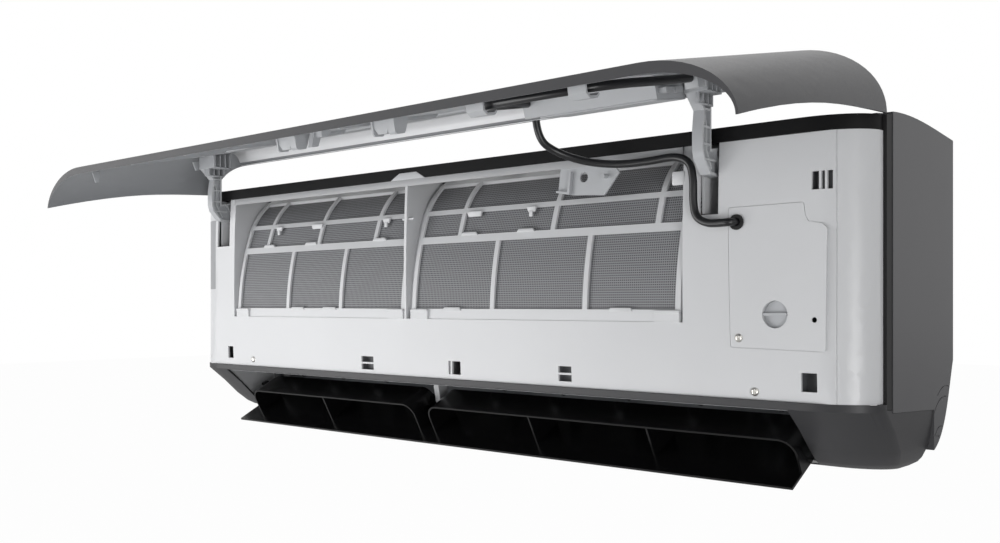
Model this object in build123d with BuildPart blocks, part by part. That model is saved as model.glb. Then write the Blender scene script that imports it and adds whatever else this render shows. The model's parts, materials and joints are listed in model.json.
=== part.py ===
"""Mini split indoor unit, wall hung, with its front panel raised for the filters.

Origin on the wall, in the middle of the mounting plate. X to the right seen from the room,
-Y out of the wall, +Z up, in mm. Moving pieces stand as photographed, with the panel and louver open.
"""

import os
from math import asin, atan2, cos, degrees, hypot, pi, radians, sin, tan

from build123d import *

os.makedirs("parts", exist_ok=True)

# ------------------------------------------------------------------ sizes
body_half_width = 499.0
frame_front = -200.0
frame_top = 137.0
frame_bottom = -94.4
frame_half_width = body_half_width - 3.8
frame_bulge = 3.0
frame_rear = -164.5
corner_run = 55.0
corner_depth = 35.0
wall = 2.5
joint_gap = 0.3

seal_rear = -152.0
side_rim_depth = 9.0

rail_height = 13.0
rail_wall = 8.0
rail_flange = 2.0
rail_rear = -164.8

hinge_y = -166.5
hinge_z = 149.5
pin_radius = 2.0
pin_clearance = 0.05
eye_radius = 5.5
panel_open_angle = 80.0
arm_width = 11.0
right_arm_left = 343.0
left_arm_left = -440.0
slot_side_gap = 4.2

panel_thickness = 2.3
panel_corner_run = 80.0
panel_bottom_front = -222.2
panel_top_front = -231.4
panel_top = 150.8
panel_lip_z = -96.0

filter_left_edge = -397.0
filter_divider_left = -57.0
divider_thickness = 4.0
filter_right_edge = 318.0
filter_bottom = -26.7
filter_thickness = 3.0
mesh_thickness = 0.6
filter_gap = 1.2

fan_y = -85.0
fan_z = -38.0
fan_radius = 44.0
fan_left = -428.0
fan_right = 330.0
fan_shaft_radius = 4.0
shaft_clearance = 0.05

louver_y = -135.0
louver_z = -126.0
louver_slope = 27.8
louver_half_width = 420.0
louver_pin_radius = 2.5
outlet_half_width = 428.0
outlet_wall = 3.0
post_left = -64.0
post_width = 8.0

coil_left = -408.0
coil_right = 318.0
coil_depth = 24.0
tube_radius = 3.5

plate_thickness = 1.5
chassis_wall = 3.0
chassis_back = -6.0
chassis_half_width = 489.6


# ------------------------------------------------------------------ shared outlines
def plan_shape(front, side, rear, run, depth):
    """Top view of a body whose front corners are quarter ellipses."""
    with BuildSketch() as shape:
        with BuildLine():
            Line((-side, rear), (-side, front + depth))
            EllipticalCenterArc((-side + run, front + depth), run, depth, start_angle=180, arc_size=90)
            Line((-side + run, front), (side - run, front))
            EllipticalCenterArc((side - run, front + depth), run, depth, start_angle=270, arc_size=90)
            Line((side, front + depth), (side, rear))
            Line((side, rear), (-side, rear))
        make_face()
    return shape.sketch


def outline(points):
    """Straight-sided face through points."""
    with BuildSketch() as shape:
        with BuildLine():
            Polyline(*points, close=True)
        make_face()
    return shape.sketch


def filter_band(outer_depth, inner_depth):
    """Side view of the filter's curve, as a strip between two depths behind its front."""
    start_y = -198.6
    with BuildSketch() as shape:
        with BuildLine():
            o1 = Line((start_y + outer_depth, filter_bottom), (start_y + outer_depth, filter_bottom + 0.01))
            o2 = JernArc(o1 @ 1, (0, 1), 370 - outer_depth, -18.5)
            o3 = JernArc(o2 @ 1, o2 % 1, 88 - outer_depth, -41.5)
            o4 = JernArc(o3 @ 1, o3 % 1, 25 - outer_depth, -26)
            o5 = Line(o4 @ 1, o4 @ 1 + (o4 % 1) * 54.4)
            i1 = Line((start_y + inner_depth, filter_bottom), (start_y + inner_depth, filter_bottom + 0.01))
            i2 = JernArc(i1 @ 1, (0, 1), 370 - inner_depth, -18.5)
            i3 = JernArc(i2 @ 1, i2 % 1, 88 - inner_depth, -41.5)
            i4 = JernArc(i3 @ 1, i3 % 1, 25 - inner_depth, -26)
            i5 = Line(i4 @ 1, i4 @ 1 + (i4 % 1) * 54.4)
            Line(o5 @ 1, i5 @ 1)
            Line(o1 @ 0, i1 @ 0)
        make_face()
    return shape.sketch


def side_shape(inset):
    """Side view of an end panel, or of the hollow inside its rim."""
    with BuildSketch() as shape:
        with BuildLine():
            Polyline(
                (seal_rear + inset, 154.3 - inset),
                (seal_rear + inset, -102.7 + inset),
                (-52 + inset, -107.3 + inset),
                (-52 + inset, -144.8 + 1.8 * inset),
            )
            Spline(
                (-52 + inset, -144.8 + 1.8 * inset),
                (-38 - 0.62 * inset, -136.6 + 0.78 * inset),
                (-14.5 - 0.85 * inset, -101 + 0.53 * inset),
                (-inset, -63),
            )
            Line((-inset, -63), (-inset, 147.4 - inset))
            Spline(
                (-inset, 147.4 - inset),
                (-50, 152.3 - inset),
                (-125, 155.8 - inset),
                (seal_rear + inset, 154.3 - inset),
            )
        make_face()
    return shape.sketch


# ------------------------------------------------------------------ fixed shell
plan_outer = plan_shape(frame_front, frame_half_width, frame_rear, corner_run, corner_depth)
plan_inner = plan_shape(
    frame_front + wall, frame_half_width - wall, frame_rear, corner_run - wall, corner_depth - wall
)
with BuildSketch() as bulge_outer:
    with BuildLine():
        ThreePointArc(
            (frame_front + frame_bulge, frame_bottom),
            (frame_front, (frame_bottom + frame_top) / 2),
            (frame_front + frame_bulge, frame_top),
        )
        Polyline(
            (frame_front + frame_bulge, frame_top),
            (frame_rear, frame_top),
            (frame_rear, frame_bottom),
            (frame_front + frame_bulge, frame_bottom),
        )
    make_face()

# slots, windows and openings in the front frame, as X from-to and Z from-to
left_opening = (filter_left_edge - 7.5, filter_divider_left - divider_thickness / 2 + 1)
right_opening = (filter_divider_left + divider_thickness / 2 + 1, filter_right_edge + 3)
slot_bottom = 72.0
right_slot = (right_arm_left - slot_side_gap, right_arm_left + arm_width + slot_side_gap)
left_slot = (left_arm_left - slot_side_gap - 2, left_arm_left + arm_width + slot_side_gap + 8)
clip_holes = [
    (-421.8, -409.5, -85.2, -68.7, "none"),
    (-136.1, -113.9, -89.5, -73.3, "level"),
    (13.6, 32.4, -88.9, -73.9, "upright"),
    (172.1, 189.0, -88.9, -73.3, "level"),
    (437.5, 451.9, -85.0, -68.7, "none"),
    (447.4, 465.1, 87.6, 103.3, "two"),
]
cover_points = [
    (368.5, 76.8),
    (440.2, 77.5),
    (442.0, 66.3),
    (444.7, 61.0),
    (457.2, 58.6),
    (461.6, 54.2),
    (459.8, -50.1),
    (370.6, -48.3),
]
cover_gap = 0.4
cover_thickness = 2.0
cover_seat = 5.0
screw_radius = 4.0
screw_pilot = 1.6
frame_screws = [(-362.9, -85.6), (393.3, -87.5)]
cover_screw_at = (378.5, -40.0)
latch_at = (413.8, -18.8)
latch_radius = 12.0
seam_x = frame_half_width - 27.2
lead_radius = 3.75
lead_inlet = (377.0, 63.7)
grommet_radius = 5.5


def front_plane(depth):
    """Plane that looks into the room from a depth behind the frame face."""
    return Plane(origin=(0, frame_front + depth, 0), x_dir=(1, 0, 0), z_dir=(0, -1, 0))


with BuildSketch() as cover_shape:
    with BuildLine():
        Polyline(*cover_points, close=True)
    make_face()
    fillet(cover_shape.vertices(), 2.0)
with BuildSketch() as cover_rebate:
    add(cover_shape.sketch)
    offset(amount=cover_gap)
with BuildSketch() as cover_hole:
    add(cover_shape.sketch)
    offset(amount=-cover_seat)

web_band = filter_band(-0.0, 9.0)
web_points = [(frame_front + wall, filter_bottom), (frame_front + wall, frame_top), (-139.0, frame_top)]
with BuildSketch() as web_shape:
    add(filter_band(-30.0, 9.0))
    with BuildSketch(mode=Mode.INTERSECT):
        with Locations(((frame_front + wall - 139.0) / 2, (filter_bottom + frame_top) / 2)):
            Rectangle(-139.0 - frame_front - wall, frame_top - filter_bottom)
guide_band = filter_band(filter_thickness + mesh_thickness + filter_gap, filter_thickness + mesh_thickness + filter_gap + 2)
with BuildSketch() as guide_shape:
    add(guide_band)
    with BuildSketch(mode=Mode.INTERSECT):
        with Locations(((frame_front + wall - 139.0) / 2, (filter_bottom + frame_top) / 2)):
            Rectangle(-139.0 - frame_front - wall, frame_top - filter_bottom)

with BuildSketch() as bulge_inner:
    with BuildLine():
        ThreePointArc(
            (frame_front + frame_bulge + wall, frame_bottom),
            (frame_front + wall, (frame_bottom + frame_top) / 2),
            (frame_front + frame_bulge + wall, frame_top),
        )
        Polyline(
            (frame_front + frame_bulge + wall, frame_top),
            (frame_rear, frame_top),
            (frame_rear, frame_bottom),
            (frame_front + frame_bulge + wall, frame_bottom),
        )
    make_face()

with BuildPart() as frame_hollow:
    with BuildSketch(Plane.XY.offset(frame_bottom + wall)):
        add(plan_inner)
    extrude(amount=frame_top - frame_bottom - 2 * wall)
    with BuildSketch(Plane.YZ.offset(-body_half_width)):
        add(bulge_inner.sketch)
    extrude(amount=2 * body_half_width, mode=Mode.INTERSECT)

with BuildPart() as front_frame:
    with BuildSketch(Plane.XY.offset(frame_bottom)):
        add(plan_outer)
    extrude(amount=frame_top - frame_bottom)
    with BuildSketch(Plane.YZ.offset(-body_half_width)):
        add(bulge_outer.sketch)
    extrude(amount=2 * body_half_width, mode=Mode.INTERSECT)
    # hollow from behind, with a wall all round the front and ends
    add(frame_hollow.part, mode=Mode.SUBTRACT)
    # filter openings
    with BuildSketch(front_plane(wall + 1)):
        for span in (left_opening, right_opening):
            with Locations(((span[0] + span[1]) / 2, (filter_bottom + frame_top - wall) / 2)):
                Rectangle(span[1] - span[0], frame_top - wall - filter_bottom)
        for span in (left_slot, right_slot):
            with Locations(((span[0] + span[1]) / 2, (slot_bottom + frame_top) / 2)):
                Rectangle(span[1] - span[0], frame_top - slot_bottom)
        for left, right, low, high, kind in clip_holes:
            with Locations(((left + right) / 2, (low + high) / 2)):
                Rectangle(right - left, high - low)
        for spot in frame_screws:
            with Locations(spot):
                Circle(screw_pilot)
    extrude(amount=wall + 2, both=True, mode=Mode.SUBTRACT)
    # open the top and bottom rims behind the openings
    for span in (left_opening, right_opening, left_slot, right_slot):
        with Locations(((span[0] + span[1]) / 2, (frame_front + 8 + frame_rear) / 2 + 6, frame_top - wall / 2)):
            Box(span[1] - span[0], frame_rear - frame_front + 4, wall + 2, mode=Mode.SUBTRACT)
    # rebate for the terminal cover and the way through behind it
    with BuildSketch(front_plane(frame_bulge)):
        add(cover_rebate.sketch)
    extrude(amount=frame_bulge * 2, mode=Mode.SUBTRACT)
    with BuildSketch(front_plane(cover_thickness)):
        add(cover_rebate.sketch)
    extrude(amount=-cover_thickness - 1, mode=Mode.ADD)
    with BuildSketch(front_plane(-1)):
        add(cover_hole.sketch)
        with Locations(lead_inlet):
            Circle(grommet_radius + joint_gap)
    extrude(amount=-20, mode=Mode.SUBTRACT)
    # open the bottom rim above the air outlet
    with Locations((0, frame_front + 13 + 15, frame_bottom)):
        Box(2 * outlet_half_width + 12, 30, 3 * wall, mode=Mode.SUBTRACT)
    # bars across some of the clip holes
    for left, right, low, high, kind in clip_holes:
        if kind == "level":
            with Locations(((left + right) / 2, frame_front + wall + 1, (low + high) / 2)):
                Box(right - left, wall, 2.0)
        if kind == "upright":
            with Locations((left + 4.5, frame_front + wall + 1, (low + high) / 2)):
                Box(2.5, wall, high - low)
        if kind == "two":
            for share in (0.4, 0.7):
                with Locations((left + share * (right - left), frame_front + wall + 1, (low + high) / 2)):
                    Box(2.0, wall, high - low)
    # screw bosses with their pilot holes
    with BuildSketch(front_plane(frame_bulge)):
        for spot in frame_screws:
            with Locations(spot):
                Circle(screw_radius + 1.5)
                Circle(screw_pilot, mode=Mode.SUBTRACT)
    extrude(amount=-14)
    with BuildSketch(front_plane(frame_bulge + 0.2)):
        for spot in frame_screws:
            with Locations(spot):
                Circle(screw_radius + 0.6)
    extrude(amount=frame_bulge * 2, mode=Mode.SUBTRACT)
    # shallow seams where the flat face meets the rounded ends
    for side in (-1, 1):
        with Locations((side * seam_x, frame_front, (frame_bottom + frame_top) / 2)):
            Box(0.8, 1.4, frame_top - frame_bottom + 1, mode=Mode.SUBTRACT)
    # webs beside the filter openings, with the runners that the filters slide on
    for left in (left_opening[0] - wall, filter_divider_left - divider_thickness / 2 + 1, right_opening[1]):
        with BuildSketch(Plane.YZ.offset(left)):
            add(web_shape.sketch)
        extrude(amount=divider_thickness if left > -100 and left < 0 else wall)
    for left, width in (
        (left_opening[0] - 0.5, 12.0),
        (left_opening[1] - 5.5, 6.0),
        (right_opening[0] - 0.5, 13.0),
        (right_opening[1] - 5.5, 6.0),
    ):
        with BuildSketch(Plane.YZ.offset(left)):
            add(guide_shape.sketch)
        extrude(amount=width)
front_frame.part.label = "front_frame"
export_step(front_frame.part, "parts/front_frame.step")

with BuildPart() as top_rail:
    with BuildSketch(Plane.XY.offset(frame_top)):
        add(plan_shape(frame_front, frame_half_width, rail_rear, corner_run, corner_depth))
        add(
            plan_shape(
                frame_front + rail_wall,
                frame_half_width - rail_wall,
                rail_rear,
                corner_run - rail_wall,
                corner_depth - rail_wall,
            ),
            mode=Mode.SUBTRACT,
        )
    extrude(amount=rail_height)
    with BuildSketch(Plane.XY.offset(frame_top + rail_height - rail_flange)):
        add(
            plan_shape(
                frame_front + 2, frame_half_width - 2, rail_rear, corner_run - 2, corner_depth - 2
            )
        )
    extrude(amount=rail_flange)
    # slots for the arm eyes, and an ear each side of an eye for its pin
    for left in (left_arm_left, right_arm_left):
        with Locations((left + arm_width / 2, (hinge_y - eye_radius - 2 + rail_rear) / 2, frame_top + rail_height)):
            Box(arm_width + 2, rail_rear - hinge_y + eye_radius + 2, 3 * rail_flange, mode=Mode.SUBTRACT)
        for ear in (left - joint_gap - 4, left + arm_width + joint_gap):
            with BuildSketch(Plane.YZ.offset(ear)):
                with BuildLine():
                    Polyline(
                        (frame_front + rail_wall - 1, frame_top + rail_height - rail_flange),
                        (frame_front + rail_wall - 1, frame_top + rail_height),
                        (hinge_y - 4, hinge_z + eye_radius),
                        (hinge_y + 1, hinge_z + eye_radius),
                    )
                    ThreePointArc(
                        (hinge_y + 1, hinge_z + eye_radius),
                        (hinge_y + eye_radius, hinge_z),
                        (hinge_y + 1, hinge_z - eye_radius),
                    )
                    Line((hinge_y + 1, hinge_z - eye_radius), (frame_front + rail_wall - 1, frame_top + rail_height - rail_flange))
                make_face()
                with Locations((hinge_y, hinge_z)):
                    Circle(pin_radius, mode=Mode.SUBTRACT)
            extrude(amount=4)
        with BuildSketch(Plane.YZ.offset(left - joint_gap - 5)):
            with Locations((hinge_y, hinge_z)):
                Circle(pin_radius)
        extrude(amount=arm_width + 2 * joint_gap + 10, mode=Mode.SUBTRACT)
top_rail.part.label = "top_rail"
export_step(top_rail.part, "parts/top_rail.step")

with BuildPart() as hinge_pins:
    for left in (left_arm_left, right_arm_left):
        with BuildSketch(Plane.YZ.offset(left - joint_gap - 5)):
            with Locations((hinge_y, hinge_z)):
                Circle(pin_radius)
        extrude(amount=arm_width + 2 * joint_gap + 10)
hinge_pins.part.label = "hinge_pins"
export_step(hinge_pins.part, "parts/hinge_pins.step")

# top grille, arched like the side panels, with rows of slots for the air
grille_front = rail_rear + joint_gap
grille_half_width = body_half_width - side_rim_depth - joint_gap
grille_thickness = 2.5
chassis_top = 144.5
slot_pitch = 11.0
slot_width = 7.5
slot_rows = 13
slot_columns = 9
with BuildSketch() as grille_section:
    with BuildLine():
        Spline((grille_front, 152.6), (-125, 155.5), (-60, 152.9), (-4, 147.8))
        Polyline((-4, 147.8), (-3.5, chassis_top), (-6.5, chassis_top), (-6.5, 145.6))
        Spline((-6.5, 145.6), (-60, 150.4), (-125, 153.0), (grille_front, 150.1))
        Line((grille_front, 150.1), (grille_front, 152.6))
    make_face()
with BuildPart() as top_grille:
    with BuildSketch(Plane.YZ.offset(-grille_half_width)):
        add(grille_section.sketch)
    extrude(amount=2 * grille_half_width)
    column_pitch = (2 * grille_half_width - 20) / slot_columns
    with BuildSketch(Plane.XY.offset(140)):
        with Locations((0, -150 + slot_pitch * (slot_rows - 1) / 2)):
            with GridLocations(column_pitch, slot_pitch, slot_columns, slot_rows):
                SlotOverall(column_pitch - 9, slot_width)
    extrude(amount=20, mode=Mode.SUBTRACT)
    for left in (left_arm_left, right_arm_left):
        with Locations((left + arm_width / 2, grille_front, 151)):
            Box(arm_width + 14, 22, 12, mode=Mode.SUBTRACT)
top_grille.part.label = "top_grille"
export_step(top_grille.part, "parts/top_grille.step")

# side panels: a dished plate with a rim, and the knock-out for the pipes at its rear corner
side_plate_inner = body_half_width - wall
notch_top = -36.0
notch_bottom = -82.0
notch_depth = 33.0
with BuildSketch() as knock_out:
    with BuildLine() as groove_outer:
        Spline((-20, -97), (-34, -98), (-53, -112), (-59, -130))
        Line((-59, -130), (-38, -133))
    trace(line_width=1.0)
    with BuildLine() as groove_inner:
        Spline((-32, -124), (-40, -124.5), (-49, -131.4))
    trace(line_width=1.0)
    with BuildLine() as groove_edge:
        Spline((-12, -88), (-30, -88), (-43, -95))
    trace(line_width=1.0)

with BuildPart() as right_side_panel:
    with BuildSketch(Plane.YZ.offset(body_half_width - side_rim_depth)):
        add(side_shape(0.0))
    extrude(amount=side_rim_depth)
    with BuildSketch(Plane.YZ.offset(body_half_width - side_rim_depth)):
        add(side_shape(wall))
    extrude(amount=side_rim_depth - wall, mode=Mode.SUBTRACT)
    with BuildSketch(Plane.YZ.offset(body_half_width - 0.7)):
        add(knock_out.sketch)
    extrude(amount=1, mode=Mode.SUBTRACT)
right_side_panel.part.label = "right_side_panel"
export_step(right_side_panel.part, "parts/right_side_panel.step")

with BuildPart() as left_side_panel:
    add(mirror(right_side_panel.part, about=Plane.YZ))
    # the knock-out for the pipes is broken out on this side
    with Locations((side_rim_depth / 2 - body_half_width, 0, (notch_top + notch_bottom) / 2)):
        Box(side_rim_depth + 2, 2 * notch_depth, notch_top - notch_bottom, mode=Mode.SUBTRACT)
left_side_panel.part.label = "left_side_panel"
export_step(left_side_panel.part, "parts/left_side_panel.step")

with BuildSketch() as seal_section:
    with BuildLine():
        Polyline((frame_rear, frame_bottom - 5), (frame_rear, 150.2), (seal_rear, 151.8), (seal_rear, -100.6), close=True)
    make_face()
seal_inner = body_half_width - side_rim_depth
seal_outer = body_half_width - 0.6
with BuildPart() as side_seals:
    with BuildSketch(Plane.YZ.offset(seal_inner)):
        add(seal_section.sketch)
    extrude(amount=seal_outer - seal_inner)
    with Locations((seal_inner + 1.5, seal_rear - 3, 25)):
        Box(5, 8, 300, mode=Mode.SUBTRACT)
    mirror(about=Plane.YZ)
side_seals.part.label = "side_seals"
export_step(side_seals.part, "parts/side_seals.step")

# lower housing: lofted tray with the air outlet through its sloping face
housing_rear = -52.0 - joint_gap
housing_levels = [
    (frame_bottom - joint_gap, -200.0, 498.6, 56.0, 36.0),
    (-101.0, -199.6, 498.6, 56.0, 36.0),
    (-120.0, -176.0, 497.0, 54.0, 36.0),
    (-140.0, -155.0, 494.0, 52.0, 36.0),
    (-152.0, -141.0, 488.0, 50.0, 36.0),
    (-156.5, -132.0, 484.0, 48.0, 34.0),
    (-161.0, -106.0, 476.0, 44.0, 30.0),
]
outlet_top = -101.8
outlet_lip = -122.0
outlet_edge = 425.0
with BuildPart() as housing_hollow:
    for level, front, side, run, depth in housing_levels:
        lift = wall if level < -159 else 0.0
        with BuildSketch(Plane.XY.offset(level + lift)):
            add(plan_shape(front + 1.4 * wall, side - wall, housing_rear, run - wall, depth - wall))
    loft(ruled=True)
with BuildPart() as lower_housing:
    for level, front, side, run, depth in housing_levels:
        with BuildSketch(Plane.XY.offset(level)):
            add(plan_shape(front, side, housing_rear, run, depth))
    loft(ruled=True)
    add(housing_hollow.part, mode=Mode.SUBTRACT)
    # step down under the seals and side panels
    with BuildSketch(Plane.YZ.offset(-body_half_width)):
        with BuildLine():
            Polyline(
                (frame_rear - joint_gap, frame_bottom + 1),
                (frame_rear - joint_gap, frame_bottom - 5 - joint_gap),
                (seal_rear, -100.6 - joint_gap),
                (seal_rear, -102.7 - joint_gap),
                (-50, -107.4 - joint_gap),
                (-50, frame_bottom + 1),
                close=True,
            )
        make_face()
    extrude(amount=2 * body_half_width, mode=Mode.SUBTRACT)
    # air outlet, and the open trough behind the bottom plate
    with BuildSketch(Plane.YZ.offset(-outlet_edge)):
        with BuildLine():
            Polyline((-210, outlet_top), (-180, outlet_top), (outlet_lip, -145.0), (outlet_lip, -170), (-210, -170), close=True)
        make_face()
    extrude(amount=2 * outlet_edge, mode=Mode.SUBTRACT)
    with Locations((0, housing_rear, -160)):
        Box(2 * outlet_edge, 46, 14, mode=Mode.SUBTRACT)
lower_housing.part.label = "lower_housing"
export_step(lower_housing.part, "parts/lower_housing.step")

# terminal cover with its latch, and the screws
latch_gap = 0.3
latch_cup_depth = 5.0
with BuildPart() as terminal_cover:
    with BuildSketch(front_plane(cover_thickness)):
        add(cover_shape.sketch)
    extrude(amount=cover_thickness)
    with BuildSketch(Plane.YZ.offset(-body_half_width)):
        add(bulge_outer.sketch)
    extrude(amount=2 * body_half_width, mode=Mode.INTERSECT)
    with BuildSketch(front_plane(cover_thickness)):
        with Locations(latch_at):
            Circle(latch_radius + 1.5)
    extrude(amount=-latch_cup_depth)
    with BuildSketch(front_plane(cover_thickness + latch_cup_depth - 1.2)):
        with Locations(latch_at):
            Circle(latch_radius)
    extrude(amount=latch_cup_depth + 5, mode=Mode.SUBTRACT)
    with BuildSketch(front_plane(cover_thickness + latch_cup_depth + 1)):
        with Locations(latch_at):
            Circle(2.5)
        with Locations((450.1, -23.2)):
            Circle(2.4)
        with Locations(cover_screw_at):
            Circle(screw_pilot)
        with Locations(lead_inlet):
            Circle(grommet_radius)
    extrude(amount=20, mode=Mode.SUBTRACT)
    with BuildSketch(front_plane(0.9)):
        with Locations(cover_screw_at):
            Circle(screw_radius + 0.6)
    extrude(amount=4, mode=Mode.SUBTRACT)
terminal_cover.part.label = "terminal_cover"
export_step(terminal_cover.part, "parts/terminal_cover.step")

with BuildPart() as lead_grommet:
    with BuildSketch(front_plane(0.2)):
        with Locations(lead_inlet):
            Circle(grommet_radius + 1.5)
            Circle(lead_radius + 0.05, mode=Mode.SUBTRACT)
    extrude(amount=1.2)
    with BuildSketch(front_plane(0.2)):
        with Locations(lead_inlet):
            Circle(grommet_radius)
            Circle(lead_radius + 0.05, mode=Mode.SUBTRACT)
    extrude(amount=-6.0)
lead_grommet.part.label = "lead_grommet"
export_step(lead_grommet.part, "parts/lead_grommet.step")

with BuildPart() as cover_latch:
    latch_floor = cover_thickness + latch_cup_depth - 1.2
    with BuildSketch(front_plane(latch_floor)):
        with Locations(latch_at):
            Circle(latch_radius - latch_gap)
    extrude(amount=1.5)
    with BuildSketch(front_plane(latch_floor - 1.5)):
        with Locations(latch_at):
            SlotOverall(2 * (latch_radius - latch_gap) - 1, 2.6)
    extrude(amount=3.6)
    with BuildSketch(front_plane(latch_floor)):
        with Locations(latch_at):
            Circle(2.5 - shaft_clearance)
    extrude(amount=-5.0)
    with BuildSketch(front_plane(latch_floor + 2.5)):
        with Locations((latch_at[0], latch_at[1])):
            SlotOverall(16, 5)
    extrude(amount=-2.5)
cover_latch.part.label = "cover_latch"
export_step(cover_latch.part, "parts/cover_latch.step")


def pan_screw(depth, length):
    """Half section of a round-headed screw whose head rests at a depth behind the frame face."""
    with BuildSketch() as shape:
        with BuildLine():
            Line((0, -2.2), (0, length))
            Polyline((0, length), (screw_pilot - 0.05, length - 2), (screw_pilot - 0.05, 0), (screw_radius, 0))
            ThreePointArc((screw_radius, 0), (screw_radius * 0.62, -1.7), (0, -2.2))
        make_face()
    return shape.sketch


with BuildPart() as front_screws:
    for spot in frame_screws:
        with BuildSketch(Plane(origin=(spot[0], frame_front + frame_bulge + 0.2, spot[1]), x_dir=(1, 0, 0), z_dir=(0, 0, 1))):
            add(pan_screw(0, 12))
        revolve(axis=Axis((spot[0], frame_front, spot[1]), (0, 1, 0)), revolution_arc=360)
        with Locations((spot[0], frame_front + frame_bulge - 2.0, spot[1])):
            Box(4.4, 1.6, 0.9, mode=Mode.SUBTRACT)
            Box(0.9, 1.6, 4.4, mode=Mode.SUBTRACT)
    # the cover's screw
    with BuildSketch(Plane(origin=(cover_screw_at[0], frame_front + 0.9, cover_screw_at[1]), x_dir=(1, 0, 0), z_dir=(0, 0, 1))):
        add(pan_screw(0, 9))
    revolve(axis=Axis((cover_screw_at[0], frame_front, cover_screw_at[1]), (0, 1, 0)), revolution_arc=360)
    with Locations((cover_screw_at[0], frame_front + 0.9 - 2.2, cover_screw_at[1])):
        Box(4.4, 1.6, 0.9, mode=Mode.SUBTRACT)
        Box(0.9, 1.6, 4.4, mode=Mode.SUBTRACT)
front_screws.part.label = "front_screws"
export_step(front_screws.part, "parts/front_screws.step")

# bracket that guides the panel's lead over the right filter
bracket_back = frame_front + 4.0
with BuildPart() as lead_bracket:
    with BuildSketch(Plane(origin=(0, bracket_back, 0), x_dir=(1, 0, 0), z_dir=(0, -1, 0))):
        with BuildLine():
            Polyline(
                (176.0, frame_top - wall),
                (172.1, 104.4),
                (189.0, 101.2),
                (230.2, 98.3),
                (248.2, 119.5),
                (236.0, frame_top - wall),
                close=True,
            )
        make_face()
        with Locations((205.0, 118.0)):
            Circle(5.0, mode=Mode.SUBTRACT)
    extrude(amount=2.0)
    with BuildSketch(Plane(origin=(0, bracket_back - 2.0, 0), x_dir=(1, 0, 0), z_dir=(0, -1, 0))):
        with BuildLine():
            Polyline((172.3, 106.5), (172.1, 104.4), (189.0, 101.2), (191.5, 124.0), (188.5, 124.3), (186.5, 104.5), close=True)
        make_face()
    extrude(amount=4.0)
    with BuildSketch(Plane(origin=(0, bracket_back - 2.0, 0), x_dir=(1, 0, 0), z_dir=(0, -1, 0))):
        with Locations((220.5, 131.6)):
            Circle(2.2)
        with Locations((233.5, 116.6)):
            Circle(2.2)
    extrude(amount=7.0)
lead_bracket.part.label = "lead_bracket"
export_step(lead_bracket.part, "parts/lead_bracket.step")

# mounting plate, screwed to the wall, with two hooks that carry the unit
plate_half_width = 350.0
plate_low = -58.0
plate_high = 124.0
plate_flange = 4.0
plate_hole_radius = 2.6
plate_hole_span_x = 640.0
plate_hole_span_z = 96.0
hook_x = 210.0
hook_width = 22.0
hook_z = 108.0
hook_rise = 12.0
with BuildPart() as mounting_plate:
    with BuildSketch(Plane(origin=(0, 0, 0), x_dir=(1, 0, 0), z_dir=(0, -1, 0))):
        with Locations((0, (plate_low + plate_high) / 2)):
            RectangleRounded(2 * plate_half_width, plate_high - plate_low, 12)
        with GridLocations(plate_hole_span_x, plate_hole_span_z, 2, 2):
            Circle(plate_hole_radius, mode=Mode.SUBTRACT)
        with Locations((-150, 20), (150, 20)):
            RectangleRounded(150, 70, 10, mode=Mode.SUBTRACT)
        with Locations((0, 20)):
            Circle(24, mode=Mode.SUBTRACT)
        for side in (-1, 1):
            with Locations((side * hook_x, hook_z + 6)):
                Rectangle(hook_width + 2, 16, mode=Mode.SUBTRACT)
    extrude(amount=plate_thickness)
    # stiffening ribs pressed forward
    for level in (-34.0, 78.0):
        with BuildSketch(Plane(origin=(0, -plate_thickness, level), x_dir=(1, 0, 0), z_dir=(0, -1, 0))):
            SlotOverall(600, 9)
        extrude(amount=1.2)
    for side in (-1, 1):
        with BuildSketch(Plane.YZ.offset(side * hook_x - hook_width / 2)):
            with BuildLine():
                Polyline(
                    (0, hook_z - 4),
                    (0, hook_z - 0.5),
                    (chassis_back - 0.0, hook_z - 0.5),
                    (chassis_back - 2.0, hook_z - 0.5),
                    (chassis_back - 3.8, hook_z + hook_rise),
                    (chassis_back - 5.2, hook_z + hook_rise),
                    (chassis_back - 5.2, hook_z - 2.0),
                    (-plate_thickness, hook_z - 2.0),
                    (-plate_thickness, hook_z - 4),
                    close=True,
                )
            make_face()
        extrude(amount=hook_width)
mounting_plate.part.label = "mounting_plate"
export_step(mounting_plate.part, "parts/mounting_plate.step")

pipe_y = -20.0
gas_pipe_radius = 6.0
gas_pipe_x = 430.0
gas_pipe_z = 50.0
liquid_pipe_radius = 3.2
liquid_pipe_x = 448.0
liquid_pipe_z = 80.0

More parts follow.
